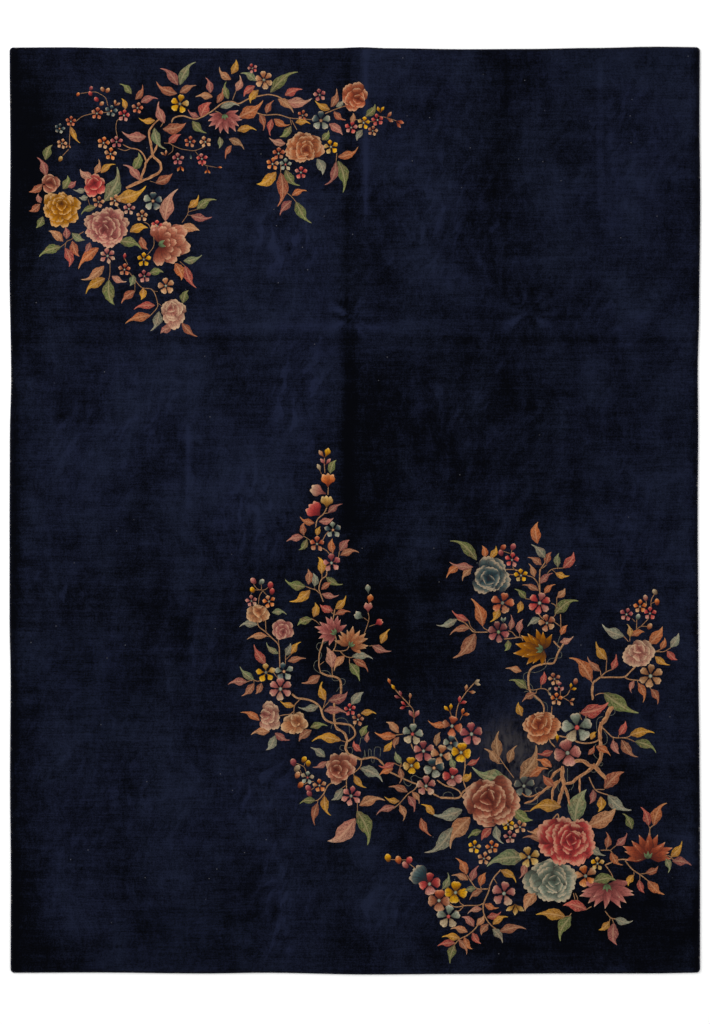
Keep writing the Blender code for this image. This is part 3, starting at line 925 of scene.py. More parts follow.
FAR_BOUGHS = (  # width at the start, width at the end, then across and down of each place on its way
    (3.6, 2.6, 126, 188, 140, 181.6, 153, 176, 160, 171, 160, 163, 153, 156, 151.6, 148, 149, 135),
    (2.6, 1.4, 149, 136, 149.4, 131, 151.6, 127, 156, 122, 161, 117.5),
    (3.0, 2.2, 140, 181, 144, 170, 146.6, 162, 153, 154, 158.6, 142),
    (2.0, 1.0, 146.6, 162, 143, 154, 138, 149.6, 130, 148, 123, 144.6),
)
FAR_TWIGS = (
    (1.0, 0.8, 130, 149, 125, 150.6, 118, 148.6), (1.0, 0.8, 160.5, 127, 165, 120),
    (1.7, 1.5, 171.6, 122.6, 174, 118, 183, 116, 196, 119, 209, 113, 216, 108, 223, 103, 232, 101.6,
     239, 103.6, 249, 98.6, 261, 95.6, 270, 94.6, 279, 97, 287, 102.6),
    (1.3, 1.0, 256, 112.6, 265, 115, 278, 114.6, 290, 118, 302, 119, 312, 119.6),
    (1.3, 1.0, 325, 113.6, 332, 110.6, 342, 107, 350, 105), (0.8, 0.7, 378, 116, 386, 117.5, 397, 121),
    (0.8, 0.7, 350, 118, 362, 121, 377, 122), (0.9, 0.8, 215, 111, 220, 113, 224, 117),
    (0.9, 0.8, 232.5, 100, 236, 91), (0.9, 0.8, 290, 118, 291.6, 125), (0.9, 0.8, 291.6, 120, 297, 130),
    (0.9, 0.8, 281, 164, 280.6, 173), (0.9, 0.8, 285.6, 192, 291, 196, 297, 203),
    (0.9, 0.8, 337, 153, 336, 163), (0.9, 0.7, 96, 113, 91, 114, 82, 116.6, 76, 121.6),
    (1.0, 0.7, 70.6, 124, 69.8, 134, 69.5, 145), (0.8, 0.7, 69, 149, 62.5, 156),
    (0.8, 0.7, 108, 106, 105.6, 98, 100, 94, 94, 92, 80, 93.5),
    (0.8, 0.7, 120, 119, 117, 121, 116, 129, 117.6, 137), (0.7, 0.7, 97, 113, 111, 112),
    (0.8, 0.7, 164, 143, 170, 143.6, 173, 145.6, 180, 148.6, 187, 150, 195, 150.6, 204, 147),
    (0.7, 0.6, 173, 146, 172.6, 151, 168, 155), (0.7, 0.6, 195, 151, 199, 156),
    (0.8, 0.6, 202.5, 163.6, 207, 165.6, 217, 167.6), (0.6, 0.6, 207, 165.6, 207.5, 170),
    (1.0, 0.8, 84, 231.5, 72, 239, 66.5, 242, 65, 248), (0.8, 0.7, 66, 243, 60, 247.5),
    (0.8, 0.7, 110, 262, 110, 273, 108.5, 281), (0.8, 0.7, 117, 206, 122, 211.5),
    (0.9, 0.7, 144, 222, 149, 225, 153.5, 234, 161, 241), (0.6, 0.6, 88, 199, 90, 206),
    (0.9, 0.7, 153.5, 234, 154, 245, 150, 252, 147, 255), (0.8, 0.7, 156, 230, 160, 238),
    (0.8, 0.7, 124.5, 258, 128, 265), (0.8, 0.6, 129, 272, 133, 277),
    (1.0, 0.9, 135, 280, 142, 287.6, 151, 289, 155, 294, 157.6, 303, 157, 308, 150, 316),
    (0.7, 0.6, 152, 291, 158, 291.6), (0.8, 0.6, 135, 282, 135, 292),
    (0.8, 0.7, 182, 222.7, 187.4, 215, 188.4, 212, 197, 209.4), (0.6, 0.6, 188.4, 213, 188.4, 206),
    (0.7, 0.6, 187.4, 215, 192, 215.6), (0.8, 0.7, 179.8, 261.5, 185, 266),
    (0.6, 0.6, 150, 181, 156, 183), (0.6, 0.6, 157.6, 303, 162, 306),
)

FAR_PEONIES = (  # across, down, width, height, facing, lean, wool, outer petals, rounds
    (61, 208.5, 40, 38, 80, 0.16, "ochre", 9, 4), (107, 227, 51, 38, 230, 0.14, "pink", 10, 5),
    (304, 147, 39, 33, -60, 0.14, "amber", 8, 4), (355, 97, 25, 29, -40, 0.25, "rust", 6, 3),
    (174, 312, 25, 31, 130, 0.25, "blush", 6, 4),
    (94.5, 185, 23, 25, 70, 0.10, "coral", 6, 2), (50, 183.5, 18, 19, 70, 0.10, "brick", 5, 2),
)
FAR_HALF_BLOOMS = (  # across, down, width, height, facing, wool
    (172, 242, 34, 34, 12, "brick"),
)
FAR_STARS = (  # across, down, width, height, facing, wool
    (226, 124, 32, 26, -80, "pink"),
)

NEAR_LEAVES = (
    (330.5, 473.5, 336.5, 460, 8, "moss"), (328, 513, 342.5, 504, 7, "rose"),
    (314.5, 523, 300, 516.5, 7, "orange"), (319, 521.5, 333.5, 518, 7.5, "pink"),
    (304, 535.5, 305, 522, 7, "rust"), (303, 537, 286.5, 541.5, 8, "pink"),
    (307, 539, 298.5, 550, 7, "moss"), (317, 535.5, 320.5, 526.5, 6, "mustard"),
    (333, 553, 332.5, 538.5, 8, "orange"), (340, 551, 349.5, 540, 9, "rose"),
    (340.5, 555.5, 359, 552.5, 8, "terracotta"), (321.5, 574, 318, 557, 9, "mustard"),
    (308.5, 584.5, 308, 569, 8.5, "terracotta"), (305.5, 586.5, 285, 579.5, 10, "moss"),
    (310, 590, 289.5, 601.5, 10, "mustard"), (314.5, 586.5, 313, 573, 7.5, "celadon"),
    (326, 577, 343, 584, 7.5, "moss"), (321.5, 589.5, 334, 582.5, 6.5, "rust"),
    (322, 594, 339, 595, 7, "pink"), (335.5, 609, 346, 595.5, 8.5, "mustard"),
    (333, 610.5, 320, 604.5, 8.5, "coral"), (335.5, 614, 350.5, 612, 6.5, "rust"),
    (313.5, 617, 315, 602.5, 8.5, "mustard"), (312, 619, 297.5, 625.5, 8.5, "moss"),
    (272, 612.5, 286.5, 614.5, 7, "sage"), (257.5, 624.5, 239.5, 627, 8.5, "celadon"),
    (267, 636, 247, 639.5, 7.5, "peach"), (265.5, 664, 254, 644.5, 10, "coral"),
    (278.5, 653.5, 266.5, 642, 6.5, "sage"), (285.5, 655.5, 290.5, 643, 8, "celadon"),
    (291, 654, 301, 642, 7.5, "mustard"), (288, 661.5, 306, 658.5, 7, "terracotta"),
    (254, 679.5, 240, 666.5, 8, "sage"), (247, 682, 228, 684.5, 8.5, "pink"),
    (254, 683.5, 241.5, 696, 8.5, "terracotta"), (261.5, 683, 255.5, 694, 7, "terracotta"),
    (332, 668, 326.5, 647, 11.5, "blush"), (344.5, 656, 334, 671, 8.5, "peach"),
    (352, 656.5, 373, 659, 8.5, "celadon"), (353, 659.5, 368, 672, 8, "rust"),
    (349.5, 663.5, 359.5, 681, 10, "moss"), (381, 643.5, 390, 629, 8, "mustard"),
    (372, 645.5, 391.5, 651, 8, "pink"), (320, 675.5, 301.5, 683, 9, "terracotta"),
    (325.5, 700.5, 322.5, 681.5, 9, "mustard"), (328.5, 700.5, 347.5, 691.5, 11, "rose"),
    (351.5, 704.5, 363.5, 692, 10, "celadon"), (319, 705.5, 298, 707, 8, "celadon"),
    (324, 711, 348, 714, 9, "pink"), (294.5, 706, 280, 700.5, 6.5, "mustard"),
    (310.5, 727.5, 327.5, 726, 7.5, "moss"), (311.5, 730, 299, 741.5, 9, "terracotta"),
    (341, 740.5, 312, 741.5, 10.5, "mustard"), (325, 757, 310.5, 747.5, 8.5, "celadon"),
    (259.5, 720.5, 240.5, 712.5, 8, "orange"), (269.5, 731.5, 251, 735, 9, "peach"),
    (275, 735.5, 266, 750, 9.5, "celadon"), (275, 733, 290, 740, 8, "rose"),
    (327, 761.5, 312.5, 767, 6.5, "pink"), (315.5, 800.5, 299.5, 804, 7.5, "moss"),
    (317.5, 803, 315, 825.5, 8.5, "rust"), (324.5, 796, 331, 815.5, 9, "mustard"),
    (342, 788, 331, 800, 8.5, "celadon"), (354, 775.5, 366.5, 787.5, 7.5, "mustard"),
    (360.5, 768, 382.5, 782, 12, "celadon"), (359.5, 805.5, 385, 800.5, 11, "peach"),
    (357, 811, 367.5, 845, 16, "moss"), (355, 818.5, 327.5, 841, 18, "blush"),
    (399.5, 801, 384.5, 796.5, 6.5, "mustard"), (407.5, 792, 388.5, 787, 8, "terracotta"),
    (395.5, 807, 376.5, 815, 7.5, "pink"), (399.5, 805, 403, 821, 7.5, "peach"),
    (408, 796, 414, 812, 8, "rose"), (412, 792, 419, 804, 6.5, "peach"),
    (394.5, 763, 378.5, 765.5, 8, "coral"), (393, 768.5, 379, 776, 7.5, "orange"),
    (399.5, 768, 399, 783.5, 6.5, "terracotta"), (401.5, 763.5, 395.5, 751.5, 7, "sage"),
    (361.5, 736.5, 368, 725.5, 8, "moss"), (367, 742.5, 369, 731.5, 5.5, "pink"),
    (361, 751, 354, 740.5, 7, "coral"), (361, 713.5, 376.5, 714, 7, "mustard"),
    (398.5, 733, 386, 722, 8.5, "peach"), (396, 735.5, 374.5, 732, 9, "orange"),
    (399, 737, 395, 748.5, 6.5, "terracotta"), (383.5, 751.5, 392, 741, 7, "mustard"),
    (447, 724.5, 428, 720.5, 7.5, "orange"), (436.5, 746, 440.5, 732, 7.5, "tan"),
    (455, 768.5, 452, 754.5, 7, "sage"), (467.5, 764.5, 479.5, 757, 6.5, "coral"),
    (461, 780, 471, 772, 8, "mustard"), (499, 763.5, 484, 748.5, 10, "tan"),
    (499, 757, 499, 731, 12, "tan"), (476.5, 560, 450, 541, 11, "moss"),
    (473, 567, 449.5, 562, 8.5, "pink"), (460, 565.5, 446.5, 578, 8, "orange"),
    (471.5, 568.5, 462.5, 581, 7.5, "peach"), (485, 558, 482, 545.5, 7, "orange"),
    (489.5, 558, 496, 546, 7, "mustard"), (545.5, 558, 531, 544.5, 9, "celadon"),
    (541.5, 565, 527.5, 557.5, 7.5, "terracotta"), (546.5, 564, 551.5, 552, 7.5, "rust"),
    (534.5, 577, 528.5, 563.5, 6.5, "peach"), (540.5, 583.5, 553, 573, 7.5, "rose"),
    (538.5, 590.5, 522, 585, 6.5, "terracotta"), (544.5, 593.5, 555.5, 584.5, 6.5, "orange"),
    (526, 598.5, 514.5, 589, 7, "moss"), (520.5, 601, 517.5, 613, 7.5, "mustard"),
    (499, 608.5, 490, 622, 8, "mustard"), (482.5, 626, 471, 598.5, 13, "orange"),
    (468.5, 620.5, 452, 610.5, 7, "coral"), (457, 619, 436.5, 625, 8, "celadon"),
    (470, 628, 450, 635, 7.5, "terracotta"), (475, 633.5, 453, 658, 15, "terracotta"),
    (510, 630, 510.8, 614.5, 6.5, "pink"), (519.5, 633.5, 523, 619, 7.5, "pink"),
    (508, 640, 504.5, 651, 7, "moss"), (540, 618, 527.5, 626.5, 7.5, "celadon"),
    (537.5, 543.5, 538, 522, 11, "orange"), (558, 567, 559, 553, 7.5, "sage"),
    (563, 568, 573.5, 552, 10, "coral"), (555.5, 573, 569.5, 575.5, 7, "mustard"),
    (557, 597.5, 565, 588, 7.5, "peach"), (555, 614, 578.5, 601, 12, "moss"),
    (561, 635, 567.5, 625, 6.5, "orange"), (560, 642, 573.5, 636, 7, "blush"),
    (521.5, 671.5, 505.5, 668.5, 7, "peach"), (527, 688.5, 509, 680.5, 8.5, "moss"),
    (535.5, 693, 522, 702, 7.5, "terracotta"), (522, 716, 518.5, 702, 8, "mustard"),
    (541, 685, 544, 671.5, 7, "coral"), (591.5, 681, 569, 658, 14, "orange"),
    (600.5, 671, 587.5, 656.5, 7.5, "terracotta"), (607, 659.5, 596, 641.5, 10, "mustard"),
    (612, 670, 616, 654, 7, "coral"), (624, 636, 602, 624, 11.5, "celadon"),
    (630, 637, 627, 624, 6.5, "straw"), (631.5, 636, 644.5, 632, 7, "orange"),
    (648.5, 644, 662.5, 626.5, 12, "orange"), (660.5, 649.5, 664.5, 637.5, 6.5, "orange"),
    (670.5, 647.5, 678.5, 633, 9, "celadon"), (667, 651, 677.5, 660, 7.5, "coral"),
    (655, 656.5, 670, 665, 7.5, "mustard"), (634, 681, 631.5, 693, 6, "pink"),
    (638, 683, 643, 702.5, 8, "orange"), (651, 689, 657.5, 704.5, 8, "rust"),
    (604, 693, 638.5, 713, 17, "moss"), (580.5, 713, 609.5, 701, 15, "coral"),
    (619, 735, 625.5, 721, 8, "coral"), (630, 735, 654.5, 733, 10, "mustard"),
    (613, 740, 619.5, 754, 8, "pink"), (621.5, 740, 638, 757, 10, "terracotta"),
    (635, 741.5, 656, 753, 10, "moss"), (591, 739.5, 596.5, 732, 6, "mustard"),
    (588, 754.5, 594, 745.5, 5.5, "rust"), (596, 746.5, 610.5, 756, 8.5, "orange"),
    (604.5, 788.5, 624, 772, 14, "rust"), (554.5, 786, 543, 775, 9, "rust"),
    (593, 789.5, 589.5, 804, 7.5, "rose"), (575, 822, 586.5, 789.5, 20, "sage"),
    (509, 763, 517, 745.5, 9, "tan"), (520, 778.5, 536, 745, 17, "tan"),
    (553, 751, 536.5, 753, 7, "coral"), (551.5, 767, 535, 759.5, 8.5, "orange"),
    (529.5, 777, 548.5, 769, 10, "orange"), (509, 780, 472, 767, 17, "sage"),
    (513, 808, 533, 820, 12, "moss"), (561, 807, 530, 811, 14, "mustard"),
    (545, 829, 527, 830.5, 8.5, "peach"), (545, 841, 522.5, 838, 7.5, "terracotta"),
    (462, 809.5, 432, 814, 14, "celadon"), (434, 815, 421, 804.5, 8, "mustard"),
    (421, 818, 431.5, 836, 8, "rust"), (470, 817.5, 450.5, 848.5, 18, "peach"),
    (453, 827, 424.5, 852.5, 15, "celadon"), (481.5, 831, 468, 838, 7, "moss"),
    (491.5, 828, 481.5, 840.5, 9, "coral"), (496, 826, 503.5, 843.5, 9, "celadon"),
    (466.5, 874.5, 455.5, 858, 9.5, "orange"), (468, 880, 451.5, 875.5, 7.5, "peach"),
    (471.5, 881, 479, 865.5, 8, "rose"), (480.5, 886, 486, 872.5, 8.5, "orange"),
    (476, 888.5, 463.5, 893, 6.5, "sage"), (442.5, 889, 447.5, 872.5, 7.5, "sage"),
    (482, 890.5, 469.5, 900, 7, "terracotta"), (484.5, 904, 499, 907.5, 7, "orange"),
    (482, 909, 467.5, 914, 6.5, "blush"), (487, 917, 501, 911.5, 7.5, "coral"),
    (476.5, 925, 484, 915, 7.5, "peach"), (474, 926.5, 461.5, 917, 8, "pink"),
    (493, 924.5, 508, 917, 8, "mustard"), (488.5, 924, 481.5, 935.5, 8, "terracotta"),
    (492.5, 929, 502.5, 943, 8.5, "celadon"), (499.5, 931.5, 526, 929, 10, "terracotta"),
    (467.5, 932, 450.5, 929, 8, "peach"), (460, 938.5, 442, 937, 8, "mustard"),
    (455, 943, 437.5, 946, 8, "coral"), (454.5, 945, 450, 963.5, 9.5, "moss"),
    (458.5, 940, 466.5, 954.5, 7.5, "terracotta"), (464.5, 937, 472.5, 949, 7.5, "orange"),
    (472.5, 932.5, 481, 943.5, 7.5, "coral"), (500.5, 870.5, 516, 883, 8.5, "mustard"),
    (524, 857, 487, 866.5, 18, "sage"), (525, 863, 519, 878.5, 8, "pink"),
    (537, 891, 525, 911, 13, "peach"), (565, 916.5, 536, 914.5, 13, "mustard"),
    (586.5, 909.5, 563, 905.5, 12, "coral"), (571, 916, 560.5, 941, 13, "moss"),
    (600.5, 796.5, 598, 812, 9.5, "mustard"), (608, 795, 631.5, 810, 13, "celadon"),
    (588, 826, 616, 807, 17, "peach"), (606.5, 848, 606, 832, 8, "rust"),
    (616, 845.5, 627, 833, 8, "rose"), (648.5, 825.5, 640.5, 807, 9.5, "coral"),
    (654, 825.5, 667, 803, 12, "orange"), (632, 829, 622.5, 813.5, 9, "moss"),
    (590, 846, 605.5, 855.5, 8.5, "celadon"), (611, 852.5, 623, 865, 8.5, "orange"),
    (671, 857, 682, 841, 9, "mustard"), (672.5, 861, 691.5, 865.5, 9.5, "rose"),
    (665.5, 858, 668, 873, 7, "sage"), (645.5, 873, 658, 866, 7.5, "rust"),
    (633.5, 875, 628.5, 886, 7.5, "mustard"), (639, 880, 644.5, 893, 7.5, "coral"),
    (648, 881, 664.5, 894.5, 10.5, "orange"), (592.5, 882, 616, 880.5, 12, "moss"),
    (609.5, 921, 598.5, 930, 7.5, "mustard"), (615, 918.5, 633, 920.5, 8.5, "celadon"),
    (614, 923, 617, 945, 12, "rose"),
)

NEAR_BLOSSOMS = (
    (333, 530, 9, 5, "teal", "drop"), (317, 544, 8.2, 5, "rust", "drop"),
    (331.5, 563, 10, 5, "rose", "drop"), (251.5, 601, 6.4, 5, "pink", "drop"),
    (269, 601.5, 7, 5, "orange", "drop"), (266, 672.5, 10.4, 5, "mustard", "drop"),
    (284, 671.5, 10, 5, "teal", "drop"), (280.5, 689, 12.6, 6, "pink", "heart"),
    (307.5, 777.5, 7.2, 5, "celadon", "drop"), (319.5, 785.5, 7.2, 5, "orange", "drop"),
    (351, 796, 11, 6, "rose", "drop"), (350, 709.5, 6.8, 5, "coral", "drop"),
    (358, 719.5, 6.6, 5, "terracotta", "drop"), (412.5, 734, 11.6, 5, "celadon", "heart"),
    (423.5, 751, 11.4, 5, "rose", "heart"), (451, 743, 8, 4, "teal", "heart"),
    (441, 755, 11, 4, "peach", "heart"), (434, 768, 11, 4, "teal", "round"),
    (411.5, 765.5, 9.4, 4, "mustard", "round"), (426, 786, 11, 5, "pink", "heart"),
    (461, 752.5, 11, 4, "mustard", "round"), (452, 726, 11.4, 4, "rust", "heart"),
    (471.5, 734, 12.4, 5, "rose", "heart"), (452.5, 777, 10.4, 4, "coral", "round"),
    (512, 560, 7.8, 5, "coral", "drop"), (521, 575.5, 7.4, 5, "mustard", "drop"),
    (502.5, 603, 12, 5, "rust", "heart"), (539.5, 603, 12, 6, "coral", "heart"),
    (498.5, 632, 11.8, 6, "mauve", "heart"), (547, 623, 9, 5, "terracotta", "heart"),
    (554.5, 679, 7, 5, "terracotta", "drop"), (556.5, 699, 7, 5, "orange", "drop"),
    (559, 687, 5.4, 3, "pink", "drop"), (626.5, 614.5, 7.2, 5, "rose", "drop"),
    (640, 606.5, 7.2, 5, "orange", "drop"), (650, 613.5, 7.2, 5, "coral", "drop"),
    (650.5, 676, 13, 6, "tan", "heart"), (577, 727.5, 16.4, 5, "celadon", "heart"),
    (567.5, 753, 14.4, 4, "pink", "round"), (474.5, 847, 7.2, 5, "mustard", "drop"),
    (492, 847, 7.2, 5, "orange", "drop"), (484, 858.5, 7.2, 5, "peach", "drop"),
    (508, 824.5, 7, 5, "mustard", "drop"), (520, 827, 7.2, 5, "peach", "drop"),
    (510, 837, 7, 5, "pink", "drop"), (529, 857, 11.4, 5, "mustard", "heart"),
    (524, 786, 11.4, 5, "grey", "heart"), (429.5, 884, 12, 4, "coral", "round"),
    (439, 900.5, 12, 4, "rust", "round"), (455.5, 892.5, 12, 4, "mustard", "round"),
    (448.5, 916.5, 12.4, 5, "celadon", "heart"), (585.5, 876, 12, 5, "orange", "heart"),
    (597.5, 863.5, 7.6, 5, "mustard", "drop"), (504, 893.5, 13, 5, "pink", "heart"),
)

NEAR_BUDS = (
    (325, 457.5, 70, 0, 1, 11, "mustard"), (324.5, 457.5, 128, 0, 1, 9, "peach"),
    (325.5, 465, 90, 78, 2, 8, "pink"), (320.5, 472.5, 110, 0, 1, 9, "cream"),
    (328, 487, 90, 36, 3, 15, "orange"), (326, 494, 158, 26, 2, 18, "blush"),
    (326.5, 507.5, 90, 34, 3, 13, "straw"), (320, 515.5, 135, 36, 3, 17, "coral"),
    (368.5, 594, 96, 0, 1, 10.5, "celadon"), (368.5, 604, 76, 0, 1, 11, "orange"),
    (368.2, 612.5, 90, 44, 2, 11, "pink"), (363.5, 618, 150, 34, 2, 11, "celadon"),
    (375, 625, 30, 28, 2, 9.5, "coral"), (390.5, 685, 110, 0, 1, 7, "orange"),
    (396.5, 690.5, 130, 0, 1, 7.5, "mustard"), (401.5, 698, 135, 55, 2, 7.5, "rose"),
    (409.6, 700, 85, 0, 1, 7, "peach"), (406.5, 706, 170, 60, 2, 7, "coral"),
    (414, 718.5, 90, 62, 2, 9.5, "pink"), (450, 711.5, 110, 54, 2, 8, "mustard"),
    (459, 704, 50, 66, 2, 8, "coral"), (462, 715.5, 45, 66, 2, 7.5, "orange"),
    (465.5, 692, 80, 0, 1, 7.5, "peach"), (468, 691, -10, 0, 1, 7.5, "peach"),
    (473, 683.5, 10, 40, 2, 7.5, "cream"), (570, 689.5, 45, 70, 2, 6.5, "mustard"),
    (547, 691.5, 0, 90, 2, 5.5, "cream"), (569, 701, -10, 70, 2, 6, "peach"),
    (428, 881, 148, 24, 4, 21, "teal"), (515, 904, -90, 52, 3, 11, "straw"),
    (557, 743, 90, 0, 1, 9, "mustard"), (503.5, 623, 90, 40, 2, 6, "celadon"),
)

NEAR_BERRIES = (
    (253.5, 581, 3.2, "pink"), (261.5, 582, 3, "celadon"), (270.5, 585.5, 3.4, "coral"),
    (272, 591.5, 3, "coral"), (252.5, 590, 2.8, "mustard"), (293.5, 762.5, 3.6, "rose"),
    (304, 759.5, 3, "mustard"), (308.3, 763.5, 3, "mustard"), (297, 768.5, 3.4, "cream"),
    (297.5, 775, 3.2, "peach"), (300.5, 785, 3.2, "orange"), (308.5, 788.5, 3.3, "rose"),
    (309.5, 793.7, 3.1, "rose"), (503, 547.5, 3, "rust"), (501, 553, 3, "rose"), (513, 547, 3.2, "rose"),
    (575.5, 681.5, 2.8, "terracotta"), (655, 592, 2.8, "cream"), (645.5, 598, 2.8, "blush"),
    (657, 602, 3, "orange"), (638, 617, 2.8, "celadon"), (649.5, 626.5, 3, "peach"),
    (388, 858, 3.7, "mustard"), (398.5, 860, 3.7, "orange"), (409, 860.5, 3.7, "coral"),
    (405.5, 865, 3.5, "pink"),
)

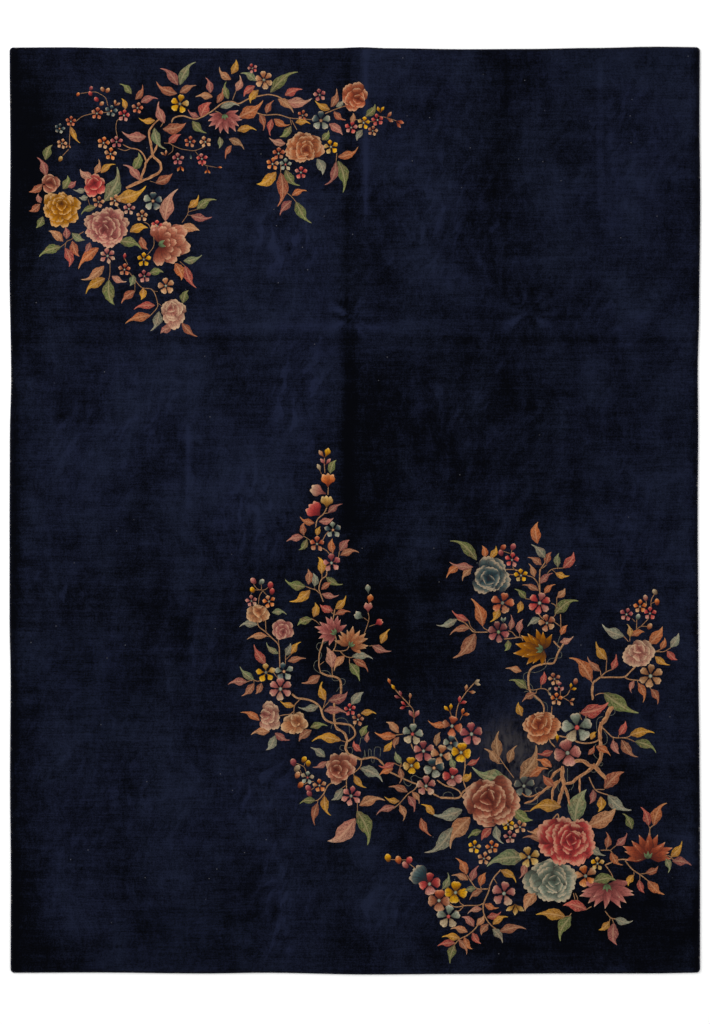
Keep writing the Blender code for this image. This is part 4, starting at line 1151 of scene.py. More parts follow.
NEAR_BRANCHES = (
    (1.8, 1.6, 324, 638, 322, 645, 319.5, 653, 319, 665, 320.5, 672.5),
    (2.2, 2.8, 320.5, 672.5, 327, 675.5, 334, 676.5, 339.5, 679.5, 341, 685, 341, 694),
    (2.8, 2.8, 334.5, 702, 334, 716, 336, 727, 344, 733, 347, 740, 345.5, 748, 348, 753),
    (2.8, 2.0, 348, 753, 354, 756.5, 361.5, 759, 370, 757.5, 377, 758.5, 382, 763, 388, 771),
    (2.0, 1.8, 388, 771, 395, 774.5, 402, 778, 411, 782, 420, 785.5, 430, 792, 440, 797.5),
    (2.4, 2.0, 440, 797.5, 450, 798, 459, 797.5, 464, 791, 471, 788.5),
    (1.8, 1.6, 437, 780, 445, 785.5, 452, 787.5, 459, 791, 463.5, 798, 470, 799),
    (2.2, 2.4, 292, 694, 297, 698, 305, 699, 313, 701.5, 320, 707, 323, 716, 326.5, 720.5, 333, 723),
    (2.4, 2.0, 333, 723, 343, 723.8, 350, 725, 354.5, 730, 354.5, 736, 346.5, 742.5),
    (1.2, 1.0, 324.5, 458, 324.5, 465, 325, 473), (1.0, 1.0, 328.3, 487, 328, 495),
    (0.8, 0.8, 320, 471, 322.5, 475.5), (1.4, 1.2, 327, 507.5, 323.5, 514, 317.5, 519.5, 315.5, 528),
    (0.9, 0.8, 328, 513, 324, 513.6), (0.9, 0.8, 303, 536, 306, 537.5, 311, 541),
    (1.2, 1.0, 322.5, 540.5, 325.5, 535, 328.5, 531.5), (1.2, 1.0, 322.5, 548, 328, 552, 331, 558),
    (1.0, 1.0, 333, 552, 332.5, 559), (1.0, 1.0, 339.5, 551, 338.5, 557, 336, 563),
    (1.4, 1.2, 327, 571, 326, 576, 321.5, 579.5, 319, 588, 320.5, 594, 323.5, 602),
    (1.2, 1.0, 306, 586.5, 311, 588.5, 316, 590, 319.5, 593.5), (0.9, 0.8, 322, 574, 322, 579),
    (0.8, 0.8, 326, 593.5, 320.5, 594.5), (0.8, 0.8, 314.5, 587, 315, 590),
    (1.4, 1.2, 335, 609, 334, 614, 333, 620), (1.0, 0.8, 329.5, 610, 334, 614.5, 339, 614),
    (1.0, 0.8, 311, 618.5, 316.5, 621.5, 320, 625),
    (1.2, 1.2, 333.5, 632, 336, 638, 335.5, 646, 332, 653),
    (1.2, 1.0, 334, 650.5, 341, 651, 347, 649.5, 349.5, 645),
    (1.2, 1.0, 340, 651, 345, 656, 351, 657.5, 356, 656), (1.0, 0.9, 349.5, 657, 349.5, 664),
    (1.2, 1.0, 332, 668, 332.5, 676), (0.9, 0.8, 319, 665.5, 324, 661.5),
    (1.0, 0.8, 368, 612, 369, 619, 366, 629, 363, 637), (0.8, 0.7, 363.5, 617.5, 368.5, 621),
    (0.8, 0.7, 375, 624.5, 369, 626.5), (0.8, 0.7, 373, 645.5, 369, 646),
    (0.9, 0.8, 253.5, 584, 257.5, 589, 264, 590, 268, 587.5),
    (0.8, 0.7, 254, 590, 261, 589.5, 261.2, 584), (0.9, 0.8, 263, 590.5, 259.5, 596, 258.5, 604),
    (0.8, 0.7, 263, 591, 267.5, 596),
    (1.2, 1.3, 257.5, 619, 258.5, 626, 265, 631.5, 272, 638, 278.5, 645, 279.5, 655, 280, 668),
    (1.0, 1.0, 265.5, 620, 266, 632), (1.0, 1.0, 279.5, 632, 278.5, 640, 279, 646),
    (0.8, 0.8, 266, 636, 271, 637), (1.0, 0.8, 285.5, 655, 285.5, 664),
    (0.8, 0.8, 285.5, 660, 291.5, 654), (1.1, 1.0, 246, 682, 253, 680, 258, 681.3, 264, 678.5),
    (0.8, 0.8, 254, 679.5, 254, 684), (0.9, 0.9, 281.5, 673.5, 278, 677.5, 273, 672),
    (1.2, 1.0, 299.5, 700, 294.5, 706, 294, 717), (1.1, 1.0, 294, 711, 290, 714.3, 285, 714.8, 279, 716),
    (0.9, 0.9, 325.5, 700, 323.5, 707, 322, 711), (0.9, 0.9, 329.5, 701, 323.5, 708),
    (0.9, 0.9, 341, 740.5, 346, 742), (0.9, 0.8, 355.5, 721.5, 354, 727),
    (1.3, 1.0, 391, 684, 400, 695, 409, 704.5, 413.5, 711, 414, 723), (0.9, 0.8, 409.6, 700, 409.3, 705),
    (0.8, 0.8, 406, 706.5, 410, 706), (1.0, 0.9, 394, 735.3, 403, 734), (1.4, 1.2, 411, 743.5, 413, 749),
    (1.0, 0.9, 394, 763, 400.5, 766, 406, 765.3), (1.0, 0.9, 401.5, 763, 399.6, 769),
    (1.3, 1.0, 418, 785, 414, 790, 408, 794, 400, 803, 393, 809), (0.8, 0.8, 400, 802, 400, 806),
    (1.3, 1.1, 361.5, 760, 360.5, 766, 354, 772, 345, 771.5, 341, 769.5),
    (0.9, 0.8, 359, 767, 361.5, 770), (1.2, 1.1, 352, 772.5, 347, 778, 346.5, 786, 347, 791),
    (0.9, 0.8, 353, 772, 354.5, 777), (0.8, 0.8, 346.5, 785, 341.5, 788.5),
    (1.5, 1.1, 335.5, 781, 328, 785.5, 323.5, 794, 318, 800, 314, 800.5),
    (0.9, 0.9, 318, 800, 317.5, 804), (0.9, 0.9, 323.5, 793.5, 325, 797.5),
    (0.9, 0.8, 314, 781.5, 309, 782, 303, 784.8), (0.9, 0.8, 296.5, 763.3, 304, 767, 306.5, 774),
    (0.7, 0.7, 304, 766, 305.5, 762), (0.8, 0.8, 310.5, 790.5, 314.5, 787.5),
    (0.8, 0.8, 300, 770, 302, 774.5), (1.0, 0.9, 357.5, 800, 357.5, 812),
    (1.2, 1.1, 474, 683.5, 466, 692.5, 459, 703.5, 456.5, 712, 456, 720), (1.0, 0.9, 450, 711, 452, 718),
    (0.9, 0.8, 463, 714, 460, 720), (1.3, 1.0, 452.5, 731, 455, 737.5, 458, 742.5),
    (1.5, 1.2, 465, 757, 465, 767, 463.5, 780, 466, 789), (0.9, 0.8, 463.5, 762, 461, 759),
    (0.8, 0.8, 465.5, 766, 468, 764), (0.9, 0.8, 503, 551, 510, 553.5),
    (0.9, 0.8, 512.5, 548, 510.6, 556), (1.0, 1.0, 512.5, 566.5, 514.5, 569.5, 517, 571),
    (1.2, 1.1, 505, 569.5, 514, 569.5, 519, 571), (1.0, 1.0, 507, 574, 515, 575),
    (1.2, 1.1, 527, 575.5, 533, 577.5, 538, 584, 540, 594), (1.5, 1.4, 540, 569, 539.6, 580, 540, 595),
    (1.4, 1.1, 544.5, 558, 545, 562, 541, 568.5, 540, 573), (1.0, 1.0, 547, 564.5, 542, 568.5),
    (1.0, 1.0, 545, 578, 549, 571.5, 554, 568.7, 563.5, 568), (0.9, 0.8, 552, 569.5, 556, 573),
    (0.9, 0.8, 558, 567, 557.5, 569), (1.4, 1.2, 457, 619, 465, 623, 471, 629.5, 475, 632, 488, 632),
    (1.0, 0.9, 468.5, 620, 471, 627, 475.5, 631), (1.0, 1.0, 482.5, 626, 484.5, 628.5, 489, 631),
    (1.1, 1.0, 508, 630.8, 512, 632, 515.5, 636, 519, 637.5),
    (1.4, 1.2, 504, 639, 513, 638.2, 521, 637.3, 523, 641), (0.9, 0.9, 519.5, 633, 520, 637.5),
    (0.9, 0.9, 525, 598.6, 532, 599.5), (1.0, 1.0, 551, 603, 555, 605, 556.8, 609),
    (1.0, 0.9, 556.8, 597, 556.8, 609), (1.2, 1.0, 538, 613, 541, 617, 544, 620),
    (1.1, 1.0, 554, 621.5, 560.5, 626.5), (1.2, 1.0, 560.5, 614, 561, 630),
    (0.8, 0.8, 556, 614, 553, 618),
    (2.2, 2.4, 564.5, 642.5, 558.5, 652, 555, 661, 552, 663.5, 543, 664, 532, 668, 528.6, 675,
     528.6, 686, 531, 693), (2.4, 2.0, 531, 693, 536, 697, 541.5, 702, 544, 708, 543.5, 714),
    (2.0, 1.8, 553.5, 641, 558, 646, 560.5, 648), (1.3, 1.2, 542.5, 649, 544.8, 657, 545.5, 663.5),
    (1.1, 1.0, 526, 689, 534, 690, 541, 688.5, 547, 690, 552, 697), (0.9, 0.9, 537, 690, 535.5, 694),
    (0.9, 0.9, 541, 685, 541, 688.6), (1.0, 0.9, 570, 690, 567, 695, 561, 698),
    (1.0, 0.9, 563, 697.5, 566.5, 699.5, 569, 701), (1.1, 1.0, 552, 706, 551.5, 714),
    (1.0, 0.9, 560.3, 690.5, 560.5, 695), (2.8, 2.4, 592.5, 700, 592.5, 685, 596, 680.5, 601, 677),
    (2.0, 1.8, 600, 677.3, 612, 677.3, 624, 676.8, 631, 671, 638.5, 663.5),
    (1.6, 1.2, 624, 676.8, 630, 679.5, 642, 680.5), (1.4, 1.1, 601, 676.5, 606, 672, 612.5, 669.3),
    (1.1, 1.0, 606, 671.5, 606.8, 659.5), (1.0, 1.0, 600.5, 671, 601, 676),
    (1.0, 1.0, 590.5, 680, 593, 684), (1.0, 0.9, 636.5, 630, 636.8, 618),
    (1.0, 0.9, 636.5, 629.5, 641, 626.5, 648, 626.5), (1.0, 0.9, 641, 626.5, 649, 618),
    (1.0, 0.9, 651, 608, 651.3, 600, 654.5, 594), (0.9, 0.8, 646.5, 606, 646, 600),
    (0.8, 0.8, 632, 618.5, 635.5, 622), (0.8, 0.8, 651, 603.5, 655, 602),
    (1.2, 1.0, 623, 635.5, 628.5, 641.5), (0.9, 0.9, 630, 637, 629.8, 641.5),
    (1.3, 1.0, 655, 652, 660.5, 649.5), (1.1, 1.0, 656, 651.6, 664, 651.5, 671, 647.5),
    (0.9, 0.8, 649, 686, 651.5, 690), (0.9, 0.9, 637.5, 680.5, 638.3, 684),
    (0.9, 0.9, 634, 680.5, 633.8, 682), (1.2, 1.1, 595, 695.5, 600, 693.4, 606, 693.4),
)
NEAR_TRUNK = (
    (6.0, 4.6, 620, 702, 613, 706.5, 608.5, 711, 607, 717, 601.5, 724),
    (4.6, 4.0, 601, 722, 600, 735, 601, 748, 600.5, 759, 596, 766),
    (4.0, 4.6, 572, 761, 583, 761, 589, 765, 595, 767.5), (5.0, 3.4, 593, 764, 600, 772, 607, 780),
    (4.0, 3.4, 594, 767, 585, 773, 577, 778, 573, 782, 565, 784),
    (4.6, 4.2, 562.5, 766, 562.5, 777, 564, 785, 560, 797, 558.5, 805),
    (3.4, 2.8, 564, 785, 567.5, 794, 570, 806), (3.4, 2.8, 562, 778, 556, 785, 552.8, 791, 552, 804),
    (3.4, 3.0, 562, 768, 555, 773, 551, 779), (2.8, 2.0, 580, 778, 579.5, 785, 580, 793),
    (3.6, 2.2, 558, 781, 550, 786, 541, 793, 533, 800.5, 524, 803.3),
    (2.2, 1.6, 541, 792, 533, 796, 526, 796, 521, 792.5),
)
NEAR_TWIGS = (
    (2.0, 1.8, 575, 741, 582, 743, 590, 743, 597.5, 740.5, 600, 736),
    (1.8, 1.6, 559, 735.8, 565, 737, 571, 737.5),
    (1.4, 1.1, 602.5, 727.5, 608, 733, 613.5, 737.3, 626, 737.5, 631, 735),
    (1.2, 1.0, 622, 737.3, 629, 739, 635, 741.8), (1.0, 0.9, 613, 737, 613.5, 741),
    (1.0, 0.9, 618.5, 735, 618.5, 737.5), (1.4, 1.2, 589, 777, 592.5, 785, 597, 791, 609, 795.3),
    (1.2, 1.1, 595.5, 789.5, 604.5, 789.5), (1.6, 1.4, 586, 711, 586, 718),
    (0.9, 0.9, 580, 712, 580, 716, 582, 720), (1.8, 1.5, 551, 730, 556.5, 735.5),
    (1.6, 1.5, 548.5, 736, 550.5, 742, 555, 747), (1.2, 1.0, 496, 752, 503, 763, 514, 778),
    (0.9, 0.9, 497, 763.5, 503, 763.5), (1.0, 1.0, 503, 811, 516, 811), (1.0, 1.0, 524, 811, 531, 811),
    (1.6, 1.4, 552, 820, 557.5, 814, 559, 820), (0.9, 0.8, 390, 859.3, 396, 859.8, 408, 860),
    (1.1, 1.0, 409, 863.5, 416, 869), (1.2, 1.2, 436, 890.5, 440, 894),
    (1.0, 0.9, 442.3, 888, 442.3, 893),
    (1.5, 1.5, 501, 869.5, 494, 877.5, 490, 885.5, 488.5, 892, 485, 900, 483, 906),
    (1.5, 1.2, 483, 904, 484, 914, 490, 924, 500, 932), (1.0, 1.0, 493.5, 878, 497, 883.5),
    (1.2, 1.2, 483.5, 903.3, 478, 905.4, 466, 905.6, 456, 907, 450, 904.3, 444, 899.5),
    (1.1, 1.0, 464.5, 906, 460, 902.5, 459, 899), (1.1, 1.0, 463.5, 906.5, 459, 911, 455, 910.7),
    (1.4, 1.2, 488, 889, 477, 888.6, 472, 883, 467, 875), (1.0, 0.9, 480.5, 886, 482, 891.5),
    (1.4, 1.2, 485, 916, 479, 923.5, 474, 930, 467, 935.5, 460, 939, 454, 945),
    (1.0, 0.9, 573.3, 893, 574.8, 899, 574.6, 906), (1.0, 0.9, 575, 893, 577.5, 898, 577.5, 906),
    (1.2, 1.1, 591.5, 906.5, 586, 909.8), (1.0, 1.0, 564, 916.5, 569, 916, 571.5, 913),
    (1.2, 1.2, 605, 911, 611, 918, 617, 918.8), (0.9, 0.9, 610.3, 917.5, 609.5, 921.5),
    (0.9, 0.9, 612, 918.5, 614, 924), (1.6, 1.6, 644, 857.5, 637, 860.5, 620, 859.6, 605, 865),
    (1.3, 1.1, 605, 865, 609, 870, 612.5, 876, 612.5, 880),
    (1.4, 1.2, 625, 860.5, 632, 869, 640, 874.5, 649, 881.5), (1.0, 0.9, 640, 874, 647, 873.3),
    (1.0, 0.9, 640, 874.5, 639.8, 880.5), (1.0, 0.9, 634, 871.5, 634, 875.5),
    (1.2, 1.1, 600.5, 850.2, 610, 850.4, 612.5, 853.5), (1.0, 0.9, 606.5, 846, 606.5, 850.3),
    (1.0, 0.9, 610.5, 850, 616.5, 845.3), (1.3, 1.1, 650, 836, 650, 828.5, 654.5, 824.5),
    (1.0, 1.0, 648.3, 824.8, 650, 828.5), (1.2, 1.1, 660, 855, 669, 856, 674.5, 861),
    (0.9, 0.9, 665.5, 855.5, 665.8, 859),
)

NEAR_PEONIES = (
    (339, 768, 33, 31, -150, 0.20, "brick", 8, 3), (490, 576, 39, 38, -110, 0.16, "teal", 6, 4),
    (639, 653, 36, 24, 90, 0.20, "blush", 7, 3), (540, 727, 41, 32, 110, 0.16, "amber", 8, 3),
    (491, 802, 58, 54, 130, 0.14, "brick", 6, 5), (551, 882, 52, 45, 20, 0.10, "celadon", 7, 5),
    (569, 842.5, 59, 53, 60, 0.08, "coral", 8, 6),
    (258, 613, 25, 18, 60, 0.20, "peach", 6, 2), (282, 630, 23, 21, -60, 0.20, "pink", 7, 3),
    (269.5, 716, 20, 29, 160, 0.30, "blush", 7, 3), (296, 723, 29, 21, 60, 0.24, "peach", 8, 2),
)
NEAR_STARS = (
    (328, 627, 30, 28, 140, "pink"), (355, 638, 32, 26, 60, "peach"),
    (530.5, 646.5, 41, 34, 165, "ochre"), (648, 846, 46, 33, 90, "rust"), (607, 897, 50, 34, -90, "pink"),
)

TENDRIL_WIDTHS = (0.75, 0.65)
TENDRILS = (  # across and down of each place on its way
    (330, 635, 328, 640, 324, 643, 318.5, 643, 316.5, 647, 319, 651, 321.5, 654, 320, 659, 315, 662,
     314, 668, 318, 672, 322, 674),
    (321, 671, 327, 671, 331, 675, 333, 680, 338, 680.5, 341, 678.5, 345, 680, 344.5, 684, 340, 687,
     336, 692), (331, 729, 332, 725, 335, 720.5, 340, 718, 346, 719.5, 349, 726, 349.5, 734),
    (345, 745.5, 341, 745.5, 340, 749, 344, 751), (347, 748, 351.5, 747.5, 352.5, 752, 350, 755),
    (352, 757, 357, 759.5, 364, 757, 364.5, 750, 366, 757.5, 368.5, 757, 368.5, 750, 371, 750,
     371.5, 761, 374, 762, 374.5, 749, 377, 747, 380.5, 748.5, 380, 757),
    (358, 750, 360, 743, 361, 738, 365, 738.5, 367, 742),
    (403, 774, 404.5, 783, 409, 786, 412, 782, 411, 777.5, 415, 775.5, 420, 778, 427, 778.5),
    (443, 797, 444, 793.5, 448, 792, 452, 793.5, 453.5, 797.5),
    (538, 787, 535, 789, 537, 795, 537, 803, 530, 804, 524, 803.5), (540, 787, 545, 789.5, 550, 789),
    (561, 634, 559, 639, 557.5, 645, 558.5, 650, 561.5, 653, 561, 657.5, 556, 658, 550, 659, 547.5, 662,
     545.5, 667, 541, 670.5, 535, 672.5, 530, 671.5),
    (530, 671.5, 525.5, 673, 523.5, 675.5, 524, 679.5, 528, 682.5, 532, 686, 533, 691, 534, 697,
     539, 701, 545, 702.5, 547.3, 706, 547.3, 714), (614.5, 709, 615, 712.5, 612.5, 715, 608.5, 715.5),
    (603, 716.5, 598.5, 718, 596.5, 723, 597, 732), (604, 731, 607, 736, 606.5, 743, 602, 745),
    (596, 744, 593.3, 749, 594, 755, 598, 759.5),
    (603, 764, 601, 766, 599.3, 764.5, 600.5, 762.5, 602.6, 763.2), (567.5, 768, 567.5, 782),
    (553, 769.5, 549, 772.5, 547.5, 780), (559, 781, 558, 788, 561, 792.5, 567, 792.5, 570, 789),
    (571, 781, 573.5, 785, 571, 790), (586, 761, 589, 765, 592, 772, 597, 771.5), (524, 692, 531, 690.5),
    (541, 739, 549, 739, 554, 737),
)

# Marks of the nap, painted as sheen and shade: where the pile was brushed, folded or trodden, it looks
# lighter or darker
NAP_BASE = -0.10
CLOUD_DEPTH = 0.60
PINCH_SHADE_DEPTH = 2.2
BROAD_DRIFT, FINE_DRIFT = 0.34, 0.24  # how much the painted shade of the nap wanders by itself
PAINTED_NAP_STRIPS = (  # strips of painted sheen and shade along the folds and the sides: from across, to across, from down, to down, shade, fade
    (364, 368, 50, 215, 1.5, 3.2), (598, 602, 60, 210, 0.8, 3.2), (186.5, 190.5, 425, 510, 1.1, 3.2),
    (344, 349, 60, 560, -0.5, 4), (10, 700, 338, 342, -0.55, 4), (150, 600, 322, 330, 0.4, 5),
    (10, 700, 588, 592, -0.4, 4),
    (10, 700, 869, 873, -0.25, 4), (10, 17, 50, 972, -0.9, 6), (694, 700, 50, 972, -0.7, 5),
    (182, 185, 340, 560, -0.3, 4), (504, 508, 60, 300, -0.4, 4), (560, 564, 430, 580, 0.3, 8),
)
PAINTED_NAP_CLOUDS = (  # patches of painted sheen and shade: across, down, half its width, half its height, shade
    (28, 170, 26, 130, -2.2), (350, 450, 9, 120, -1.6), (20, 560, 14, 240, -0.4), (22, 900, 20, 90, -1.1),
    (150, 125, 80, 36, -0.8), (60, 130, 40, 50, -0.8), (500, 150, 26, 130, -0.8),
    (376, 440, 32, 130, -1.5), (352, 200, 14, 140, -0.6), (440, 420, 60, 110, -0.7),
    (540, 440, 40, 110, -0.9), (400, 610, 60, 70, -1.0), (330, 640, 60, 80, -0.9),
    (430, 670, 60, 50, -1.0), (620, 920, 100, 50, -1.7), (520, 955, 70, 26, -1.0),
    (675, 955, 36, 36, -0.9), (600, 790, 90, 40, -0.8), (110, 610, 110, 50, -0.5),
    (60, 955, 60, 26, -0.8), (342, 850, 14, 110, -0.5), (590, 610, 60, 60, -0.4),
    (420, 780, 60, 50, -0.5), (250, 640, 40, 60, -0.5), (560, 120, 34, 60, -0.5), (290, 250, 50, 60, 0.7),
    (300, 400, 40, 80, 0.6), (240, 500, 46, 70, 0.6), (140, 365, 60, 50, 0.3), (110, 430, 70, 50, 0.4),
    (60, 475, 40, 40, 0.4), (340, 330, 130, 20, 0.5), (430, 100, 60, 60, 0.2), (645, 170, 45, 90, 0.6),
    (620, 322, 60, 18, 0.5), (640, 450, 50, 80, 0.1), (555, 85, 25, 22, 0.5), (372, 120, 16, 80, 0.5),
    (250, 800, 44, 50, 0.5), (275, 910, 30, 60, 0.5), (380, 910, 30, 34, 0.7), (460, 290, 60, 40, 0.2),
    (190, 880, 80, 50, 0.1), (600, 540, 60, 30, 0.1),
)
TRODDEN_SHEEN_PATCHES = (  # where brushed marks of painted sheen show: across, down, half its width, half its height, how plain its marks are
    (284, 240, 34, 40, 0.9), (300, 400, 34, 60, 0.8), (255, 515, 34, 50, 0.8), (265, 800, 36, 50, 0.7),
    (275, 905, 30, 60, 0.6), (120, 430, 90, 60, 0.4), (382, 906, 26, 20, 0.7), (440, 200, 90, 130, 0.4),
    (625, 150, 60, 90, 0.4), (470, 420, 110, 100, 0.35), (110, 800, 110, 120, 0.35),
    (630, 480, 80, 120, 0.3), (60, 590, 50, 20, 0.6), (180, 650, 90, 60, 0.35), (620, 320, 80, 40, 0.4),
)
PINCH_CREASE_SHADES = ((352, 318, 26), (528, 312, 32))  # puckers, their creases painted as rays of light and shade: across, down, how far the creases run out from it
WORN_PATCHES = (  # across, down, radius
    (522, 758, 30), (503, 744, 20), (545, 774, 16),
)


def trodden_sheen_at(x, y):
    """How plain the brushed marks of painted sheen are at a place, from 0 to 1."""
    across, down = x / PIXEL + MIDDLE_ACROSS, MIDDLE_DOWN - y / PIXEL
    return max(share * math.exp(-((across - middle) / wide) ** 2 - ((down - low) / high) ** 2)
               for middle, low, wide, high, share in TRODDEN_SHEEN_PATCHES)


def worn_at(x, y):
    """How hazy the pile looks at a place, from 0 to 1."""
    place = Vector((x, y))
    return max(math.exp(-((place - at(across, down)).length / (radius * PIXEL)) ** 2)
               for across, down, radius in WORN_PATCHES)


def painted_nap_light_at(x, y):
    """How light the nap looks at a place, from dark at -1 to light at 1: painted sheen and painted shade."""
    across, down = x / PIXEL + MIDDLE_ACROSS, MIDDLE_DOWN - y / PIXEL
    total = NAP_BASE
    for left, right, top, low, shade, fade in PAINTED_NAP_STRIPS:
        away = max(left - across, across - right, top - down, down - low)
        if away < fade:
            share = min(max((fade - away) / (2 * fade), 0.0), 1.0)
            total += shade * share * share * (3 - 2 * share)
    for middle, low, wide, high, shade in PAINTED_NAP_CLOUDS:
        away = ((across - middle) / wide) ** 2 + ((down - low) / high) ** 2
        total += CLOUD_DEPTH * shade * math.exp(-1.2 * away) if away < 5 else 0.0
    for middle, low, run in PINCH_CREASE_SHADES:
        off = Vector((across - middle, down - low))
        if off.length < 1.4 * run:
            ray = noise.noise(Vector((*off.normalized(), middle)) * 3.0)
            total += PINCH_SHADE_DEPTH * ray * math.exp(-((off.length / run - 0.5) / 0.36) ** 2)
    total += BROAD_DRIFT * noise.noise(Vector((x * 3.1, y * 2.1, 0.0)))
    total += FINE_DRIFT * noise.noise(Vector((x * 8.0, y * 6.0, 4.0)))
    return total


def grid_lines(half):
    """Evenly spaced lines over the middle, and closer ones where the rim rounds over."""
    rim = [half - inset for inset, _ in RIM]
    inner = half - RIM_BAND
    count = round(2 * inner / GRID_SPACING)
    even = [(2 * k / count - 1) * inner for k in range(count + 1)]
    return [-line for line in rim] + even + rim[::-1]


def rim_height(inset):
    """The pile's height at an inset from its outline."""
    for (near, low), (far, high) in zip(RIM, RIM[1:]):
        if inset <= far:
            return low + (high - low) * max(inset - near, 0.0) / (far - near)
    return RIM[-1][1]


def make_field(finish):
    """The pile's field: a fine grid over the whole rug, closed underneath."""
    columns, rows = grid_lines(HALF_WIDTH), grid_lines(HALF_LENGTH)
    bpy.ops.object.select_all(action="DESELECT")
    bpy.ops.mesh.primitive_grid_add(x_subdivisions=len(columns) - 1, y_subdivisions=len(rows) - 1, size=2)
    piece = bpy.context.object
    piece.name = piece.data.name = "navy_pile_field"
    left = {y: edge_reach(0, -1, y) for y in rows}
    right = {y: edge_reach(0, 1, y) for y in rows}
    near = {x: edge_reach(1, -1, x) for x in columns}
    far = {x: edge_reach(1, 1, x) for x in columns}
    inner_x, inner_y = HALF_WIDTH - CORNER_RADIUS, HALF_LENGTH - CORNER_RADIUS
    painted_nap_lights, worn, trodden_sheen = [], [], []
    for vertex in piece.data.vertices:
        x = columns[round((vertex.co.x + 1) / 2 * (len(columns) - 1))]
        y = rows[round((vertex.co.y + 1) / 2 * (len(rows) - 1))]
        past = Vector((max(abs(x) - inner_x, 0.0), max(abs(y) - inner_y, 0.0)))
        inset = CORNER_RADIUS - max(past)
        round_x, round_y = x, y
        if past.x > 0 and past.y > 0:
            past = past.normalized() * max(past)
            round_x, round_y = math.copysign(inner_x + past.x, x), math.copysign(inner_y + past.y, y)
        side = right[y] if x > 0 else left[y]
        end = far[x] if y > 0 else near[x]
        wide = round_x + x / HALF_WIDTH * (side - HALF_WIDTH)
        long = round_y + y / HALF_LENGTH * (end - HALF_LENGTH)
        vertex.co = (wide, long, rim_height(inset) + fold_height(wide, long))
        # each point's painted sheen and shade of the nap, its worn haze and how plain its brushed marks of
        # painted sheen are
        painted_nap_lights.append(painted_nap_light_at(wide, long))
        worn.append(worn_at(wide, long))
        trodden_sheen.append(trodden_sheen_at(wide, long))
    for name, values in (("painted_nap_light", painted_nap_lights), ("worn", worn), ("trodden_sheen", trodden_sheen)):
        piece.data.attributes.new(name, "FLOAT", "POINT").data.foreach_set("value", values)
    close_underneath(piece)
    piece.data.shade_smooth()
    piece.data.set_sharp_from_angle(angle=math.radians(60))
    piece.data.materials.append(finish)
    return piece


def close_underneath(piece):
    """Draws the rim of an open sheet down to the floor, and fills it in below."""
    bpy.ops.object.mode_set(mode="EDIT")
    bpy.ops.mesh.select_mode(type="EDGE")
    bpy.ops.mesh.select_all(action="DESELECT")
    bpy.ops.mesh.select_non_manifold()
    for drop in HEM_DROPS:
        bpy.ops.mesh.extrude_edges_move(TRANSFORM_OT_translate={"value": (0, 0, -drop)})
    bpy.ops.mesh.edge_face_add()
    bpy.ops.object.mode_set(mode="OBJECT")
    for vertex in piece.data.vertices:
        if vertex.co.z < HEM_HEIGHT:
            vertex.co.z = 0.0


def even_ring(spacing):
    """The pile's outline again, in even steps, each with its outward direction and its run so far."""
    places, run = [], 0.0
    for k, start in enumerate(RING):
        end = RING[(k + 1) % len(RING)]
        length = (end - start).length
        steps = max(1, round(length / spacing))
        for step in range(steps):
            places.append((start + (end - start) * (step / steps), run + length * step / steps))
        run += length
    ring = []
    for k, (place, so_far) in enumerate(places):
        ahead = (places[(k + 1) % len(places)][0] - places[k - 1][0]).normalized()
        ring.append((place, Vector((ahead.y, -ahead.x)), so_far))
    return ring


def make_edging(name, node, stretch, finish):
    """A wound edging: yarn turns round the outermost threads, along one stretch of the outline."""
    sides = YARN_SIDES
    points, faces, own = [], [], []
    for place, outward, run in stretch:
        lean = abs(outward.x)
        width = OVERCAST[0] + (SELVEDGE[0] - OVERCAST[0]) * lean
        height = OVERCAST[1] + (SELVEDGE[1] - OVERCAST[1]) * lean
        for k in range(sides):
            angle = math.tau * k / sides
            turn = run / YARN_PITCH + k / sides
            swell = 0.80 + 0.20 * abs(math.sin(math.pi * turn))
            swell *= 1 + 0.05 * noise.noise(Vector((run * 300, k * 0.7, 0.0)))
            out = SEWN_GAP + width * (0.5 - 0.5 * swell * math.cos(angle))
            spot = place + outward * out
            points.append((spot.x, spot.y, max(height * (0.5 + 0.5 * swell * math.sin(angle)), 0.0)))
            own.append((turn, k / sides))
    count = len(stretch)
    for i in range(count - 1):
        for k in range(sides):
            after = (k + 1) % sides
            low, high = i * sides, (i + 1) * sides
            faces.append((low + k, low + after, high + after, high + k))
    faces.append(tuple(range(sides - 1, -1, -1)))
    faces.append(tuple((count - 1) * sides + k for k in range(sides)))
    mesh = bpy.data.meshes.new(name)
    mesh.from_pydata(points, [], faces)
    places = mesh.uv_layers.new(name="own")
    places.data.foreach_set("uv", [channel for loop in mesh.loops for channel in own[loop.vertex_index]])
    mesh.shade_smooth()
    mesh.materials.append(finish)
    piece = bpy.data.objects.new(name, mesh)
    bpy.context.scene.collection.objects.link(piece)
    face_outwards(piece)
    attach(piece, "root")
    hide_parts(node)
    return piece


def face_outwards(piece):
    """Turns a closed mesh's faces so that they all point out of it."""
    bm = bmesh.new()
    bm.from_mesh(piece.data)
    bmesh.ops.recalc_face_normals(bm, faces=bm.faces)
    bm.to_mesh(piece.data)
    bm.free()


def make_edgings():
    """The four wound edgings, each on its own stretch of the outline."""
    yarn = edging_yarn()
    low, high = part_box("end_overcast_near")
    ring = even_ring(YARN_PITCH / 4)
    corner = next(k for k, (place, _, _) in enumerate(ring) if place.x > low[0] and place.y < 0)
    ring = ring[corner:] + ring[:corner]
    ends = [stop for stop in ring if low[0] < stop[0].x < high[0]]
    stretches = (
        ("left_selvedge_winding", "side_selvedge_left", [stop for stop in ring if stop[0].x < low[0]]),
        ("right_selvedge_winding", "side_selvedge_right", [stop for stop in ring if stop[0].x > high[0]]),
        ("near_end_overcasting", "end_overcast_near", [stop for stop in ends if stop[0].y < 0]),
        ("far_end_overcasting", "end_overcast_far", [stop for stop in ends if stop[0].y > 0]),
    )
    return [make_edging(name, node, stretch, yarn) for name, node, stretch in stretches]


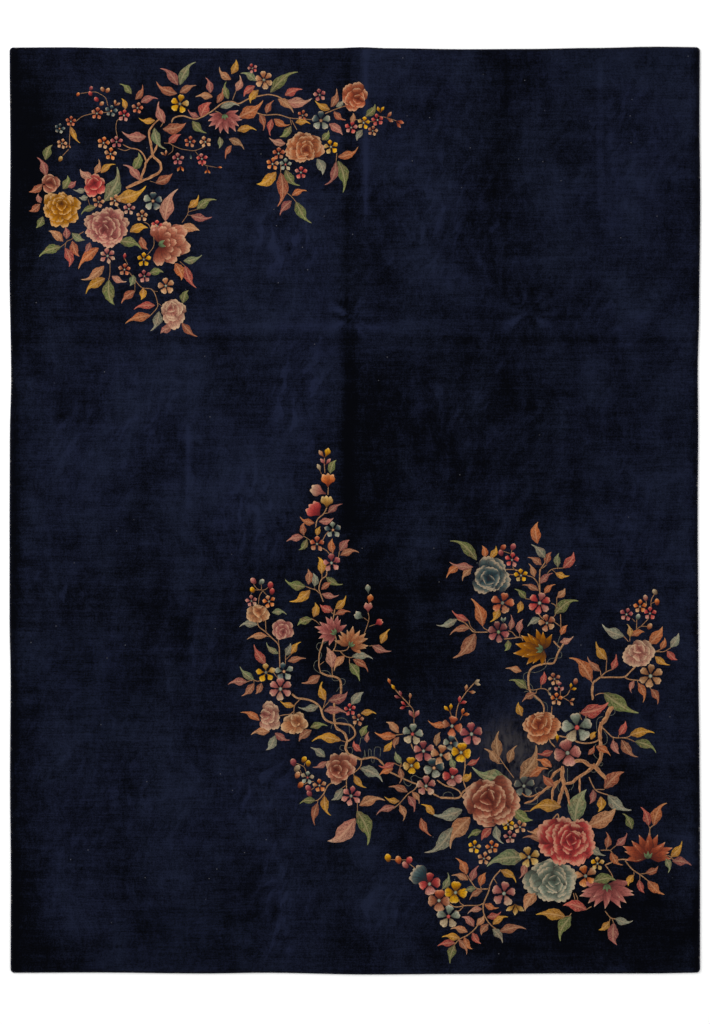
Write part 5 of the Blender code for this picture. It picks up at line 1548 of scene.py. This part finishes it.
def make_spray(prefix, leaves, blossoms, buds, berries, boughs, peonies, half_blooms, stars, finishes):
    """One spray: its boughs, its leaves, its small blossoms and its full blooms, each kind a piece.

    boughs holds tables of boughs, each with the wool that they are knotted in."""
    leaf_finish, petal_finish, bough_finish = finishes
    bough_tufts = Tufts(f"{prefix}_boughs", bough_finish)
    for wool, rows in boughs:
        for from_width, to_width, *route in rows:
            bough(bough_tufts, from_width, to_width, wool, *route)
    leaf_tufts = Tufts(f"{prefix}_leaves", leaf_finish)
    for row in leaves:
        leaf(leaf_tufts, *row)
    blossom_tufts = Tufts(f"{prefix}_blossoms", petal_finish)
    for row in blossoms:
        blossom(blossom_tufts, *row)
    for row in buds:
        small_petals(blossom_tufts, *row)
    for row in berries:
        berry(blossom_tufts, *row)
    bloom_tufts = Tufts(f"{prefix}_full_blooms", petal_finish)
    for row in peonies:
        peony(bloom_tufts, *row)
    for row in half_blooms:
        half_bloom(bloom_tufts, *row)
    for row in stars:
        star_bloom(bloom_tufts, *row)
    return [tufts.built() for tufts in (bough_tufts, leaf_tufts, blossom_tufts, bloom_tufts)]


# The floor, the light and the camera

CAMERA_LENS = 85.0
SENSOR = 36.0
FLOOR_SIZE = 16.0
FLOOR_DEPTH = -0.0005  # just under the rug
FLOOR_PALE = (0.90, 0.90, 0.90, 1.0)
SKY_STRENGTH = 0.70
LAMPS = (  # name, place, size, power
    ("window_side", (-4.5, 3.5, 5.5), 3.0, 420.0),
    ("fill_side", (4.5, -3.0, 6.0), 4.0, 120.0),
)


def make_stage():
    """A plain pale floor."""
    bpy.ops.object.select_all(action="DESELECT")
    bpy.ops.mesh.primitive_plane_add(size=FLOOR_SIZE, location=(0, 0, FLOOR_DEPTH))
    floor = bpy.context.object
    floor.name = "pale_floor"
    material = bpy.data.materials.new("pale_floor")
    material.use_nodes = True
    shader = material.node_tree.nodes["Principled BSDF"]
    shader.inputs["Base Color"].default_value = FLOOR_PALE
    shader.inputs["Roughness"].default_value = 0.9
    shader.inputs["Specular IOR Level"].default_value = 0.1
    floor.data.materials.append(material)


def make_light():
    """An even white sky, a large lamp from the far left and a weak one that fills the shade."""
    world = bpy.data.worlds.new("studio")
    world.use_nodes = True
    sky = world.node_tree.nodes["Background"]
    sky.inputs["Color"].default_value = (1.0, 1.0, 1.0, 1.0)
    sky.inputs["Strength"].default_value = SKY_STRENGTH
    bpy.context.scene.world = world
    for name, place, size, power in LAMPS:
        light = bpy.data.lights.new(name, "AREA")
        light.size = size
        light.energy = power
        lamp = bpy.data.objects.new(name, light)
        lamp.location = place
        lamp.rotation_euler = (-Vector(place)).to_track_quat("-Z", "Y").to_euler()
        bpy.context.scene.collection.objects.link(lamp)
    bpy.context.scene.view_settings.view_transform = "Standard"


def make_camera():
    """Straight above, so that the rug fills the frame as the tables' pixels do."""
    camera = bpy.data.cameras.new("camera")
    camera.lens = CAMERA_LENS
    camera.sensor_width = SENSOR
    view_height = FRAME_HEIGHT * PIXEL
    middle_x = (FRAME_WIDTH / 2 - MIDDLE_ACROSS) * PIXEL
    middle_y = (MIDDLE_DOWN - FRAME_HEIGHT / 2) * PIXEL
    viewer = bpy.data.objects.new("camera", camera)
    viewer.location = (middle_x, middle_y, PILE_HEIGHT + view_height * CAMERA_LENS / SENSOR)
    camera.clip_end = 100.0
    bpy.context.scene.collection.objects.link(viewer)
    bpy.context.scene.camera = viewer


def main():
    """The camera, the floor and the light first, then the rug as one laid sheet."""
    make_camera()
    make_stage()
    make_light()
    field = make_field(navy_field())
    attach(field, "root")
    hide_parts("pile_field")
    finishes = (leaf_wool(), petal_wool(), bough_wool())
    pieces = make_edgings()
    pieces += make_spray("far_spray", FAR_LEAVES, FAR_BLOSSOMS, FAR_BUDS, FAR_BERRIES,
                         (("bark", FAR_BOUGHS), ("tan", FAR_TWIGS)),
                         FAR_PEONIES, FAR_HALF_BLOOMS, FAR_STARS, finishes)
    pieces += make_spray("near_spray", NEAR_LEAVES, NEAR_BLOSSOMS, NEAR_BUDS, NEAR_BERRIES,
                         (("tan", NEAR_BRANCHES), ("bark", NEAR_TRUNK), ("tan", NEAR_TWIGS)),
                         NEAR_PEONIES, (), NEAR_STARS, finishes)
    tendrils = Tufts("near_spray_tendrils", finishes[2])
    for route in TENDRILS:
        bough(tendrils, *TENDRIL_WIDTHS, "grey", *route)
    pieces.append(tendrils.built())


main()
